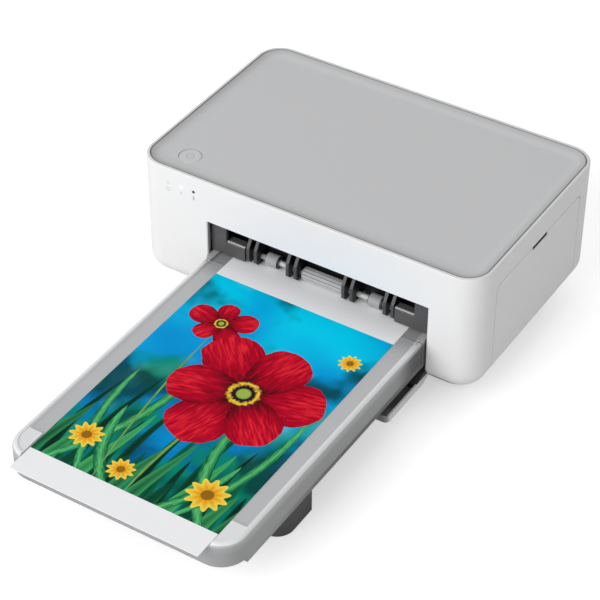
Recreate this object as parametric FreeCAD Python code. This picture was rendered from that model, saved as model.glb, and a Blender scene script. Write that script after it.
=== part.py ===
import FreeCAD, Part
import math
import os

os.makedirs("parts", exist_ok=True)
Vector = FreeCAD.Vector

# Frame: millimetres, +Z up, +X to the right seen from the front, -Y towards the paper tray.
# The origin lies on the table under the middle of the whole machine with its tray and print.

# Clearances and cuts
overrun = 5.0
axes_turn = 120.0
quarter_turn = 90.0
seam = 0.35
fit_gap = 0.3
run_gap = 0.06
roll_gap = 0.2
level_slack = 0.006

# Paper and the tray that holds it, across
paper_width = 102.0
tray_side = 11.4
tray_play = 0.7
tray_half = paper_width / 2 + tray_side
opening_width = 2 * (tray_half + tray_play)

# Frame plates inside the housing, across
plate_play = 2.1
plate_thick = 1.2
plate_half = tray_half + plate_play
left_room = 40.75
right_room = 24.75
body_width = 2 * plate_half + left_room + right_room
right_x = body_width / 2
paper_x = (left_room - right_room) / 2

# Paper path along the machine, each place behind the one before it
exit_depth = 9.75
pickup_behind = 10.1
platen_behind = 45.0
supply_behind = 28.0
pivot_behind = 16.0
rear_room = 16.85
pickup_depth = exit_depth + pickup_behind
platen_depth = pickup_depth + platen_behind
supply_depth = platen_depth + supply_behind
arm_pivot_depth = supply_depth + pivot_behind
body_depth = arm_pivot_depth + rear_room

# Paper and tray along the machine
stack_length = 181.5
stack_back = 22.4
stack_front_gap = 8.5
print_over_tray = 7.8
tray_reach = stack_length - stack_back + stack_front_gap
print_reach = tray_reach + print_over_tray
front_y = (print_reach - body_depth) / 2
back_y = front_y + body_depth
mid_y = (front_y + back_y) / 2

# Heights from the table up, each above the one before it
base_under = 3.0
body_under = 15.0
tray_under = 24.5
bed_rise = 4.5
stack_height = 4.4
print_rise = 6.8
print_thick = 0.25
paper_bed = tray_under + bed_rise
stack_top = paper_bed + stack_height
print_level = stack_top + print_rise
print_top = print_level + print_thick

# Housing
corner_radius = 13.75
belly_radius = 10.6
rim_round = 0.7
wall = 2.4
rim_wall = 1.6

# Capstan, pinch roller and platen
capstan_radius = 3.0
capstan_journal = 2.0
pinch_radius = 2.5
pinch_journal = 0.9
pinch_inset = 1.0
platen_radius = 7.0
platen_shaft_radius = 2.5
platen_over = 3.0

# Ribbon cartridge
case_radius = 10.8
case_clear = 2.55
spool_core = 3.0
spool_axle = 1.5
takeup_roll = 5.5
supply_roll = 7.5
case_wall = 1.0
case_over = 6.0
case_end = 2.0
case_boss_radius = 3.2
tab_height = 5.0
tab_width = 24.0
tab_reach = 3.5
case_open_angle = 160.0
film_thick = 0.12
film_rise = 1.0
film_span = 13.0
spool_over = 3.0
capstan_z = print_top + roll_gap + capstan_radius
spool_level = capstan_z + capstan_radius + case_clear + case_radius

# Top of the housing, over the cartridge
top_room = 14.2
body_top = spool_level + case_radius + top_room

# Top panel and power button
panel_gap = 0.4
panel_thick = 3.0
panel_drop = 0.2
dish_depth = 1.5
dish_border = 0.4
cove_width = 8.0
cove_steps = 4
shelf_thick = 2.4
shelf_inset = 5.0
button_from_side = 21.55
button_inset_y = 16.5
button_radius = 5.9
button_round = 0.35
button_travel = 0.6
button_collar = 1.2
button_collar_thick = 1.0
switch_thick = 1.2
switch_size = 15.0
switch_dome = 2.5

# Front opening and bezel
opening_rise = 20.6
opening_bay = 12.5
bezel_set = 3.65
bezel_thick = 2.0
bezel_rise = 1.5
bezel_fin_gap = 0.75
mouth_edge = 0.5
notch_width = 10.5
notch_rise = 9.1
sill_radius = 0.9
ledge_depth = 3.0
ledge_thick = 1.5
beam_height = 5.0
beam_depth = 4.6

# Exit rollers, shaft and guide fins
exit_radius = 3.5
exit_shaft_radius = 1.5
centre_length = 23.0
centre_ribs = 24
centre_rib_depth = 0.25
centre_crown_share = 0.6
short_length = 6.4
short_fin_gap = 8.2
hub_inset = 0.5
hub_radius = 3.1
fin_thick = 1.7
fin_roller_gap = 2.3
fin_pair = 4.6
outer_fin_gap = 4.2
outer_fin_pair = 4.4
fin_rise = 1.1
fin_front = 4.0
fin_knee_rise = 10.3
fin_under_top = 2.8
fin_slant = 4.8
fin_nose = 1.6
fin_slot = 0.5
guide_back = 14.3
guide_thick = 2.0
guide_rise = 3.0

# Lower idlers and pickup rollers
idler_radius = 1.4
idler_shaft_radius = 0.9
pickup_radius = 3.2
pickup_shaft_radius = 1.5
pickup_length = 10.0
pickup_offset = 14.0

# Gear train
gear_module = 0.6
gear_width = 3.5
gear_slack = 0.12
gear_side_gap = 1.0
pressure_angle = 20.0
addendum_share = 0.9
dedendum_share = 1.2
tooth_share = 0.46
exit_teeth = 21
pickup_teeth = 14
idler_teeth = 40
capstan_teeth = 18
takeup_teeth = 20
motor_teeth = 12
motor_angle = 120.0
lightening_holes = 5
lightening_share = 0.55
lightening_radius = 2.6

# Side plates, bridge and gear plate
plate_under_top = 6.5
plate_front = 6.0
plate_rear = 6.0
window_gap = 1.2
window_round = 3.0
bush_radius = 3.4
bridge_drop = 3.5
bridge_thick = 1.2
bridge_front = 30.0
bridge_rear = 12.0
gear_plate_gap = 3.0
gear_plate_front = 8.0
gear_plate_margin = 4.0
post_radius = 2.2
idler_post_radius = 1.6

# Motor
motor_radius = 12.0
motor_length = 21.0
motor_shaft_radius = 1.0
motor_bore_depth = 6.0
motor_boss = 4.0
motor_boss_length = 1.0

# Thermal head and arm
arm_pivot_rise = 9.8
arm_pivot_radius = 1.5
arm_over = 8.0
arm_thick = 1.2
arm_height = 5.0
head_over = 2.0
head_rise = 1.3
head_thick = 1.6
head_width = 6.0
sink_height = 9.0
sink_width = 14.0
sink_grooves = 4
sink_groove_width = 1.5
sink_groove_depth = 5.0
arm_reach_share = 0.86

# Front flap
flap_gap = 0.45
flap_axis_depth = 6.4
flap_axis_drop = 4.9
flap_skin = 6.3
flap_thick = 4.0
flap_floor = 1.0
flap_border = 1.1
flap_liner_thick = 0.6
flap_lip = 7.0
flap_corner = 2.6
flap_arm = 4.0
flap_pin_radius = 1.6
flap_pin_length = 4.0
flap_knuckle = 3.2
flap_boss = 3.4
flap_boss_width = 6.8

# Ribbon door
door_half = 43.9
door_under_top = 12.6
door_corner = 3.7
door_axis_angle = 40.0
door_relief = 1.95
door_pin_radius = 0.7
door_pin_length = 3.0
door_boss_radius = 2.6
door_boss_length = 4.6
slot_half = 7.7
slot_height = 1.9
slot_depth = 3.2

# Base cover, feet and screws
plinth_inset_x = 13.0
plinth_inset_y = 18.0
plinth_radius = 9.0
base_floor = 2.2
base_wall = 2.2
flange_width = 4.0
flange_thick = 2.0
foot_radius = 6.0
foot_inset_x = 10.25
foot_inset_y = 11.85
screw_inset_x = 38.25
screw_inset_y = 14.85
screw_head_radius = 2.8
screw_head_height = 1.8
screw_shank_radius = 1.3
screw_length = 12.0
boss_radius = 3.6
deck_width = 6.0
deck_inset = 12.4
deck_length = 9.0

# Paper tray
tray_corner = 13.5
tray_floor = 1.5
tray_wall = 1.6
tray_wall_inset = 1.8
tray_flange_height = 3.1
tray_flange_inset = 0.2
tray_nose_depth = 4.4
shoulder_drop = 2.0
rim_rise = 1.1
rim_width = 3.5
rim_outer_round = 2.4
rim_flare = 0.8
deck_front = 2.15
deck_back = 5.85
deck_plate = 1.7
tray_tail = 25.35
tail_wall_rise = 5.5
ramp_rise = 2.0
fence_gap = 0.6
fence_thick = 1.5
fence_rise = 0.6
fence_back = 8.0
fence_length_share = 0.5
tray_ribs = 3
tray_rib_thick = 2.0

# Tray cover
cover_rear = 2.65
cover_wall = 1.5
cover_floor = 1.7
cover_rise = 3.4
cover_axis_depth = 4.05
cover_axis_drop = 0.2
cover_pin_radius = 0.8
ear_round = 1.2
ear_thick = 1.5
ear_gap = 0.3
ear_drop = 2.5
rear_round = 1.4
gusset_length = 16.0
gusset_rise = 0.7
notch_side_gap = 0.6

# Tray foot
tray_foot_inset = 6.6
tray_foot_ahead = 51.9
tray_foot_length = 24.8
tray_foot_round = 9.0
tray_foot_wall = 2.0

# Print, and lift plate under the paper stack
print_length_inside = 12.35
sheet_gap = 0.15
lift_inset = 5.0
lift_thick = 1.0
lift_front = 44.0
lift_back = 14.0
lift_pin_radius = 1.0

# Rear slot, paper guide and inlet
slot_over = 3.0
slot_drop = 2.4
slot_rise = 3.0
guide_plate_drop = 1.6
guide_plate_thick = 1.2
guide_front = 26.85
guide_back_gap = 3.4
guide_window_gap = 1.2
inlet_from_side = 27.25
inlet_rise = 17.0
inlet_nose = 4.0
inlet_bore = 2.9
inlet_bore_depth = 9.0
inlet_pin = 1.0
inlet_width = 12.0
inlet_height = 11.0

# Boards and indicators
board_thick = 1.6
board_from_side = 7.25
board_plate_gap = 2.3
board_under_top = 11.0
board_back_gap = 12.0
chip_size = 9.0
chip_thick = 1.8
chip_pitch = 13.5
chip_start = 10.0
chips_on_board = 3
lamps_from_side = (19.25, 27.05, 34.55)
lamp_under_top = 8.8
lamp_radius = 0.8
lamp_board_width = 24.0
lamp_board_under = 3.5
lamp_peg_radius = 1.4
lamp_peg_offset = 10.0

# Places shared by several pieces
base_deck = body_under + wall + flange_thick
shelf_top = body_top - panel_drop - panel_thick
plate_top = body_top - plate_under_top
opening_top = print_level + opening_rise
bezel_bottom = print_level + bezel_rise
rim_level = print_level + rim_rise
cover_under = tray_under + cover_rise
cover_axis_level = print_level - cover_axis_drop
button_x = button_from_side - right_x
lamp_x = [side - right_x for side in lamps_from_side]
lamp_level = body_top - lamp_under_top
door_top = body_top - door_under_top
exit_y = front_y + exit_depth
exit_z = print_top + roll_gap + exit_radius
idler_z = print_level - roll_gap - idler_radius
pickup_y = front_y + pickup_depth
pickup_z = stack_top + roll_gap + pickup_radius
pinch_half = paper_width / 2 - pinch_inset
pinch_z = print_level - roll_gap - pinch_radius
platen_half = paper_width / 2 + platen_over
platen_y = front_y + platen_depth
platen_z = print_level - roll_gap - platen_radius
supply_y = front_y + supply_depth
arm_y = front_y + arm_pivot_depth
arm_pivot_level = print_level + arm_pivot_rise
tray_front_y = front_y - tray_reach
deck_front_y = front_y - deck_front
deck_back_y = front_y + deck_back
tray_back_y = front_y + tray_tail
cover_rear_y = front_y - cover_rear
cover_axis_y = front_y - cover_axis_depth
flap_y = front_y + flap_axis_depth
flap_axis_level = tray_under - flap_axis_drop
gear_x = paper_x - plate_half - plate_thick - gear_side_gap
gear_plate_x = gear_x - gear_width - gear_plate_gap
fin_first = centre_length / 2 + fin_roller_gap
fin_second = fin_first + fin_pair
short_offset = fin_second + short_fin_gap + short_length / 2
fin_third = short_offset + short_length / 2 + outer_fin_gap
fin_last = fin_third + outer_fin_pair
bezel_inner = fin_last + fin_thick / 2 + bezel_fin_gap
notch_sill = print_level + notch_rise
fin_bottom = print_level + fin_rise
fin_knee = print_level + fin_knee_rise
fin_top = opening_top - fin_under_top
guide_bottom = print_level + guide_rise
head_level = print_level + head_rise
head_half = paper_width / 2 + head_over
arm_offset = paper_width / 2 + arm_over
film_level = print_level + film_rise
film_half = paper_width / 2
case_half = paper_width / 2 + case_over
spool_half = paper_width / 2 + spool_over
bridge_level = tray_under - bridge_drop
tray_shoulder = print_level - shoulder_drop
tail_wall_level = paper_bed + tail_wall_rise
rear_ramp_level = paper_bed + ramp_rise
fence_level = stack_top + fence_rise
gusset_level = print_level + gusset_rise
tray_foot_half = tray_half - tray_foot_inset
tray_foot_front = tray_reach - tray_foot_ahead
tray_foot_back = tray_foot_front - tray_foot_length
deck_offset = tray_half - deck_inset
lift_half = paper_width / 2 - lift_inset
slot_width = paper_width + 2 * slot_over
slot_low = print_level - slot_drop
slot_high = print_level + slot_rise
guide_plate_low = print_level - guide_plate_drop
inlet_x = inlet_from_side - right_x
inlet_level = body_under + inlet_rise
board_left = board_from_side - right_x
board_right = paper_x - plate_half - plate_thick - board_plate_gap
board_top = body_top - board_under_top


def box(x0, x1, y0, y1, z0, z1):
    return Part.makeBox(x1 - x0, y1 - y0, z1 - z0, Vector(x0, y0, z0))


def rod_x(x0, x1, y, z, radius):
    return Part.makeCylinder(radius, x1 - x0, Vector(x0, y, z), Vector(1, 0, 0))


def rod_y(y0, y1, x, z, radius):
    return Part.makeCylinder(radius, y1 - y0, Vector(x, y0, z), Vector(0, 1, 0))


def rod_z(z0, z1, x, y, radius):
    return Part.makeCylinder(radius, z1 - z0, Vector(x, y, z0), Vector(0, 0, 1))


def arc_edge(cx, cy, radius, start, middle, end, z):
    points = [Vector(cx + radius * math.cos(math.radians(a)), cy + radius * math.sin(math.radians(a)), z)
              for a in (start, middle, end)]
    return Part.Arc(*points).toShape()


def rounded_slab(x0, x1, y0, y1, radii, z0, z1):
    """Upright slab; radii are those of the front-left, front-right, back-right and back-left corners."""
    turn = quarter_turn
    corners = ((x0, y0, 1, 1, 2 * turn), (x1, y0, -1, 1, -turn), (x1, y1, -1, -1, 0),
               (x0, y1, 1, -1, turn))
    edges = []
    ends = []
    for (x, y, sx, sy, start), radius in zip(corners, radii):
        if radius > 0:
            arc = arc_edge(x + sx * radius, y + sy * radius, radius, start, start + turn / 2,
                           start + turn, z0)
            ends.append((arc.Vertexes[0].Point, arc.Vertexes[1].Point, arc))
        else:
            ends.append((Vector(x, y, z0), Vector(x, y, z0), None))
    for i, (_, leave, arc) in enumerate(ends):
        if arc is not None:
            edges.append(arc)
        reach = ends[(i + 1) % len(ends)][0]
        edges.append(Part.LineSegment(leave, reach).toShape())
    return Part.Face(Part.Wire(edges)).extrude(Vector(0, 0, z1 - z0))


def even_slab(x0, x1, y0, y1, radius, z0, z1):
    """Upright slab with the same radius on all its corners."""
    return rounded_slab(x0, x1, y0, y1, (radius, radius, radius, radius), z0, z1)


def prism_x(points, x0, x1):
    """Solid between two planes across X with the given outline of (y, z) points."""
    outline = [Vector(x0, y, z) for y, z in points]
    return Part.Face(Part.makePolygon(outline + outline[:1])).extrude(Vector(x1 - x0, 0, 0))


def fuse(pieces):
    whole = pieces[0]
    for piece in pieces[1:]:
        whole = whole.fuse(piece)
    return whole.removeSplitter()


def cut(shape, tools):
    for tool in tools:
        shape = shape.cut(tool)
    return shape


def level_edges(shape, z):
    """Edges that lie flat at height z."""
    return [e for e in shape.Edges
            if abs(e.BoundBox.ZMin - z) < level_slack and abs(e.BoundBox.ZMax - z) < level_slack]


def save(name, shape):
    shape.exportStep("parts/" + name + ".step")


def mirrored(offset):
    return (paper_x - offset, paper_x + offset)


def housing_form(inset, top):
    """Outside of the housing with its round belly, or its inside, which has a flat slope there."""
    form = even_slab(-right_x + inset, right_x - inset, front_y + inset, back_y - inset,
                     corner_radius - inset, body_under + inset, top)
    belly = level_edges(form, body_under + inset)
    if inset > 0:
        return form.makeChamfer((belly_radius - inset) * (2 - math.sqrt(2)), belly)
    return form.makeFillet(belly_radius, belly)


def door_axis():
    """Middle of the wall on the rounded belly, at an angle below the horizontal."""
    middle = belly_radius - wall / 2
    angle = math.radians(door_axis_angle)
    x = right_x - belly_radius + middle * math.cos(angle)
    z = body_under + belly_radius - middle * math.sin(angle)
    return x, z


def door_region(gap):
    """Block across the right wall that the door fills; gap draws its edges in."""
    block = rounded_slab(mid_y - door_half + gap, mid_y + door_half - gap, door_axis()[1], door_top - gap,
                         (0, 0, door_corner, door_corner), 0, belly_radius + wall + overrun)
    block.rotate(Vector(0, 0, 0), Vector(1, 1, 1), axes_turn)
    block.translate(Vector(right_x - belly_radius - wall, 0, 0))
    return block


def plinth_slab(grow, z0, z1):
    return even_slab(-right_x + plinth_inset_x - grow, right_x - plinth_inset_x + grow,
                     front_y + plinth_inset_y - grow, back_y - plinth_inset_y + grow,
                     plinth_radius + grow, z0, z1)


def mouth_bevel():
    """What the slanted edge round the front opening takes away, wider towards the front."""
    outlines = []
    for grow in (mouth_edge, -mouth_edge):
        y = front_y - grow
        half = opening_width / 2 + mouth_edge + grow
        high = opening_top + mouth_edge + grow
        points = [Vector(paper_x + sx * half, y, z)
                  for sx, z in ((-1, body_under - overrun), (1, body_under - overrun), (1, high), (-1, high))]
        outlines.append(Part.makePolygon(points + points[:1]))
    return Part.makeLoft(outlines, True, True)


def make_housing():
    outer = housing_form(0, body_top)
    outer = outer.makeFillet(rim_round, level_edges(outer, body_top))
    inner = housing_form(wall, shelf_top - shelf_thick)
    inset = shelf_inset
    hatch = even_slab(-right_x + inset, right_x - inset, front_y + inset, back_y - inset,
                      corner_radius - inset, shelf_top - shelf_thick - overrun, shelf_top + overrun)
    inset = rim_wall
    seat = even_slab(-right_x + inset, right_x - inset, front_y + inset, back_y - inset,
                     corner_radius - inset, shelf_top, body_top + overrun)
    shell = cut(outer, [inner, hatch, seat])
    mouth = [paper_x - opening_width / 2, paper_x + opening_width / 2]
    shell = shell.cut(box(mouth[0], mouth[1], front_y - overrun, front_y + opening_bay,
                          body_under - overrun, opening_top))
    shell = shell.cut(mouth_bevel())
    shell = shell.cut(plinth_slab(fit_gap, body_under - overrun, body_under + wall + fit_gap))
    shell = shell.cut(box(paper_x - slot_width / 2, paper_x + slot_width / 2, back_y - wall - overrun,
                          back_y + overrun, slot_low, slot_high))
    shell = shell.cut(rod_y(back_y - wall - overrun, back_y + overrun, inlet_x, inlet_level,
                            inlet_nose + fit_gap))
    for x in lamp_x:
        shell = shell.cut(rod_y(front_y - overrun, front_y + wall + overrun, x, lamp_level,
                                lamp_radius + run_gap))
    axis_x, axis_z = door_axis()
    shell = shell.cut(door_region(0))
    shell = shell.cut(rod_y(mid_y - door_half, mid_y + door_half, axis_x, axis_z, door_relief))
    bosses = []
    for side, x in zip((-1, 1), mouth):
        ends = sorted((x, x + side * flap_boss_width))
        block = box(ends[0], ends[1], front_y, flap_y + flap_boss, body_under, flap_axis_level + flap_boss)
        bosses.append(block.common(housing_form(0, body_top)))
    for side in (-1, 1):
        start = mid_y + side * door_half
        ends = sorted((start, start + side * door_boss_length))
        boss = rod_y(ends[0], ends[1], axis_x, axis_z, door_boss_radius)
        bosses.append(boss.common(housing_form(0, body_top)))
    for side in (-1, 1):
        x = lamp_x[1] + side * lamp_peg_offset
        bosses.append(rod_y(front_y + wall / 2, front_y + wall + board_thick, x, lamp_board_level(),
                            lamp_peg_radius))
    shell = fuse([shell] + bosses)
    for side, x in zip((-1, 1), mouth):
        ends = sorted((x - side * overrun, x + side * (flap_pin_length + fit_gap)))
        shell = shell.cut(rod_x(ends[0], ends[1], flap_y, flap_axis_level, flap_pin_radius + run_gap))
    reach = door_half + door_pin_length + fit_gap
    return shell.cut(rod_y(mid_y - reach, mid_y + reach, axis_x, axis_z, door_pin_radius + run_gap))


def panel_slab(inset, z0, z1):
    inset = rim_wall + panel_gap + inset
    return even_slab(-right_x + inset, right_x - inset, front_y + inset, back_y - inset,
                     corner_radius - inset, z0, z1)


def panel_dish():
    """Shallow dish whose border rises on an arc from the flat floor to the panel's edge."""
    floor = shelf_top + panel_thick - dish_depth
    radius = (cove_width ** 2 + dish_depth ** 2) / (2 * dish_depth)
    sweep = math.asin(cove_width / radius)
    rings = []
    for i in range(cove_steps + 1):
        angle = sweep * i / cove_steps
        inset = dish_border + cove_width - radius * math.sin(angle)
        rings.append((inset, floor + radius * (1 - math.cos(angle))))
    rings.append((dish_border, body_top + overrun))
    wires = [level_wire(panel_slab(inset, z, z + overrun), z) for inset, z in rings]
    return Part.makeLoft(wires, True, True)


def level_wire(shape, z):
    return Part.Wire(Part.sortEdges(level_edges(shape, z))[0])


def make_panel():
    dish_floor = shelf_top + panel_thick - dish_depth
    panel = panel_slab(0, shelf_top, shelf_top + panel_thick).cut(panel_dish())
    x, y = button_x, front_y + button_inset_y
    collar = button_radius + button_collar + roll_gap
    recess = dish_floor - (panel_thick - dish_depth) / 2
    hole = rod_z(shelf_top - overrun, body_top + overrun, x, y, button_radius + roll_gap)
    return cut(panel, [hole, rod_z(shelf_top - overrun, recess, x, y, collar)])


def make_button():
    dish_floor = shelf_top + panel_thick - dish_depth
    recess = dish_floor - (panel_thick - dish_depth) / 2
    x, y = button_x, front_y + button_inset_y
    cap = rod_z(recess - roll_gap - button_collar_thick, dish_floor, x, y, button_radius)
    cap = cap.makeChamfer(button_round, level_edges(cap, dish_floor))
    flange = rod_z(recess - roll_gap - button_collar_thick, recess - roll_gap, x, y,
                   button_radius + button_collar)
    return cap.fuse(flange).removeSplitter()


def make_switch():
    """Small board that hangs from the shelf under the button, with a dome switch on it."""
    dish_floor = shelf_top + panel_thick - dish_depth
    under = dish_floor - (panel_thick - dish_depth) / 2 - roll_gap - button_collar_thick
    x, y = button_x, front_y + button_inset_y
    top = shelf_top - shelf_thick
    dome_top = under - button_travel - roll_gap
    board = box(-right_x + shelf_inset - overrun / 2, x + switch_size / 2,
                front_y + shelf_inset - overrun / 2, y + switch_size / 2, top - switch_thick, top)
    board = board.common(housing_form(wall, body_top))
    return board.fuse(rod_z(top - switch_thick, dome_top, x, y, switch_dome)).removeSplitter()


def make_lamps():
    rods = [rod_y(front_y, front_y + wall + board_thick, x, lamp_level, lamp_radius) for x in lamp_x]
    return Part.makeCompound(rods)


def lamp_board_top():
    return shelf_top - shelf_thick - switch_thick - fit_gap


def lamp_board_level():
    """Height of the middle of the indicator board, which lies under the switch board."""
    return (lamp_level - lamp_board_under + lamp_board_top()) / 2


def make_lamp_board():
    y = front_y + wall + board_thick
    middle = lamp_x[1]
    return box(middle - lamp_board_width / 2, middle + lamp_board_width / 2, y, y + board_thick,
               lamp_level - lamp_board_under, lamp_board_top())


def make_bezel():
    face = front_y + bezel_set
    half = opening_width / 2 - fit_gap
    panels = []
    for side in (-1, 1):
        ends = sorted((paper_x + side * half, paper_x + side * bezel_inner))
        panel = box(ends[0], ends[1], face, face + bezel_thick, bezel_bottom, opening_top + beam_height)
        inner = paper_x + side * bezel_inner
        notch = sorted((inner, inner + side * notch_width))
        panel = panel.cut(box(notch[0] - seam, notch[1] + seam, face - overrun, face + overrun, notch_sill,
                              opening_top - sill_radius))
        sill = rod_x(notch[0], notch[1], face + bezel_thick / 2, notch_sill, sill_radius)
        ledge = box(notch[0], notch[1], face + bezel_thick / 2, face + bezel_thick + ledge_depth,
                    notch_sill + sill_radius - ledge_thick, notch_sill + sill_radius)
        panels.append(fuse([panel, sill, ledge]))
    beam = box(paper_x - half, paper_x + half, front_y + wall, front_y + wall + beam_depth,
               opening_top + fit_gap, opening_top + beam_height)
    return fuse([beam] + panels)


def make_exit_guide():
    back = front_y + guide_back
    beam = box(paper_x - plate_half, paper_x + plate_half, back, back + guide_thick, guide_bottom, fin_top)
    outline = [(front_y + fin_front, fin_bottom + fin_nose), (front_y + fin_front + fin_nose, fin_bottom),
               (back, fin_bottom), (back, fin_top), (front_y + fin_front + fin_slant, fin_top),
               (front_y + fin_front, fin_knee)]
    fins = []
    for offset in (fin_first, fin_second, fin_third, fin_last):
        for x in mirrored(offset):
            fins.append(prism_x(outline, x - fin_thick / 2, x + fin_thick / 2))
    guide = fuse([beam] + fins)
    slot = exit_shaft_radius + fin_slot
    return guide.cut(box(paper_x - plate_half, paper_x + plate_half, exit_y - slot, exit_y + slot,
                         exit_z - slot, exit_z + slot))


def journal_rod(y, z, radius, journal, half, gear_end):
    """Shaft carried by both side plates; on the left it can reach out to the gear plane."""
    left = gear_x - gear_width if gear_end else paper_x - plate_half - plate_thick
    right = paper_x + plate_half + plate_thick
    shaft = rod_x(left, right, y, z, journal)
    if radius > journal:
        shaft = shaft.fuse(rod_x(paper_x - half, paper_x + half, y, z, radius)).removeSplitter()
    return shaft


def make_centre_roller():
    """Ribbed roller: ribs run along it, with flat crowns between shallow grooves."""
    pitch = 2 * math.pi / centre_ribs
    crown = pitch * centre_crown_share / 2
    points = []
    for i in range(centre_ribs):
        middle = i * pitch
        for angle, radius in ((middle - crown, exit_radius), (middle + crown, exit_radius),
                              (middle + pitch / 2, exit_radius - centre_rib_depth)):
            points.append((exit_y + radius * math.cos(angle), exit_z + radius * math.sin(angle)))
    x0, x1 = paper_x - centre_length / 2, paper_x + centre_length / 2
    return prism_x(points, x0, x1).cut(rod_x(x0 - overrun, x1 + overrun, exit_y, exit_z, exit_shaft_radius))


def make_short_rollers():
    rollers = []
    for x in mirrored(short_offset):
        x0, x1 = x - short_length / 2, x + short_length / 2
        roller = rod_x(x0, x1, exit_y, exit_z, exit_radius)
        rollers.append(roller.cut(rod_x(x0, x1, exit_y, exit_z, hub_radius)))
    return Part.makeCompound(rollers)


def make_short_hubs():
    hubs = []
    for x in mirrored(short_offset):
        half = short_length / 2 + hub_inset
        hub = rod_x(x - half, x + half, exit_y, exit_z, hub_radius)
        hubs.append(hub.cut(rod_x(x - half, x + half, exit_y, exit_z, exit_shaft_radius)))
    return Part.makeCompound(hubs)


def make_idlers():
    shaft = rod_x(paper_x - plate_half - plate_thick, paper_x + plate_half + plate_thick, exit_y, idler_z,
                  idler_shaft_radius)
    rollers = [rod_x(x - short_length / 2, x + short_length / 2, exit_y, idler_z, idler_radius)
               for x in mirrored(short_offset)]
    rollers.append(rod_x(paper_x - centre_length / 2, paper_x + centre_length / 2, exit_y, idler_z,
                         idler_radius))
    return fuse([shaft] + rollers)


def make_pickup_rollers():
    rollers = []
    for x in mirrored(pickup_offset):
        x0, x1 = x - pickup_length / 2, x + pickup_length / 2
        roller = rod_x(x0, x1, pickup_y, pickup_z, pickup_radius)
        rollers.append(roller.cut(rod_x(x0, x1, pickup_y, pickup_z, pickup_shaft_radius)))
    return Part.makeCompound(rollers)


def make_platen_roller():
    roller = rod_x(paper_x - platen_half, paper_x + platen_half, platen_y, platen_z, platen_radius)
    return roller.cut(rod_x(paper_x - platen_half, paper_x + platen_half, platen_y, platen_z,
                            platen_shaft_radius))


def pitch_radius(teeth):
    return gear_module * teeth / 2


def meet(a, distance_a, b, distance_b):
    """Point at given distances from two centres, on the upper side."""
    dy, dz = b[0] - a[0], b[1] - a[1]
    between = math.hypot(dy, dz)
    along = (distance_a ** 2 - distance_b ** 2 + between ** 2) / (2 * between)
    height = math.sqrt(distance_a ** 2 - along ** 2)
    uy, uz = dy / between, dz / between
    return a[0] + along * uy - height * uz, a[1] + along * uz + height * uy


def spacing(teeth_a, teeth_b):
    return pitch_radius(teeth_a) + pitch_radius(teeth_b) + gear_slack


def train():
    """Centres of the gears, in (y, z), from the shafts that they turn."""
    exit_centre = (exit_y, exit_z)
    pickup = (pickup_y, pickup_z)
    idler = meet(exit_centre, spacing(exit_teeth, idler_teeth), pickup, spacing(pickup_teeth, idler_teeth))
    reach = spacing(capstan_teeth, idler_teeth)
    drop = idler[1] - capstan_z
    capstan = (idler[0] + math.sqrt(reach ** 2 - drop ** 2), capstan_z)
    reach = spacing(takeup_teeth, idler_teeth)
    rise = spool_level - idler[1]
    takeup = (idler[0] + math.sqrt(reach ** 2 - rise ** 2), spool_level)
    reach = spacing(motor_teeth, idler_teeth)
    angle = math.radians(motor_angle)
    motor = (idler[0] + reach * math.cos(angle), idler[1] + reach * math.sin(angle))
    return {"exit": exit_centre, "pickup": pickup, "idler": idler, "capstan": capstan, "takeup": takeup,
            "motor": motor}


def involute_gear(centre, teeth, phase, bore):
    """Spur gear with involute flanks; phase is the angle of the middle of one tooth."""
    radius = pitch_radius(teeth)
    base = radius * math.cos(math.radians(pressure_angle))
    tip = radius + gear_module * addendum_share
    root = radius - gear_module * dedendum_share
    half = math.pi / teeth * tooth_share
    spread = math.tan(math.radians(pressure_angle)) - math.radians(pressure_angle)

    def flank(r):
        if r <= base:
            return half + spread
        turn = math.acos(base / r)
        return half + spread - (math.tan(turn) - turn)

    side = [(r, flank(r)) for r in (root, base, radius, tip) if r >= root]
    points = []
    for i in range(teeth):
        middle = phase + 2 * math.pi * i / teeth
        for r, a in side:
            points.append((centre[0] + r * math.cos(middle - a), centre[1] + r * math.sin(middle - a)))
        for r, a in reversed(side):
            points.append((centre[0] + r * math.cos(middle + a), centre[1] + r * math.sin(middle + a)))
    gear = prism_x(points, gear_x - gear_width, gear_x)
    return gear.cut(rod_x(gear_x - gear_width, gear_x, centre[0], centre[1], bore))


def mesh_phase(centre_a, teeth_a, phase_a, centre_b, teeth_b):
    """Phase of gear b that puts its gap where gear a has a tooth."""
    line = math.atan2(centre_b[1] - centre_a[1], centre_b[0] - centre_a[0])
    pitch_a, pitch_b = 2 * math.pi / teeth_a, 2 * math.pi / teeth_b
    place = ((line - phase_a) % pitch_a) / pitch_a
    return line + math.pi - pitch_b * (1 / 2 - place)


capstan_y = train()["capstan"][0]
takeup_y = train()["takeup"][0]


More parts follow.
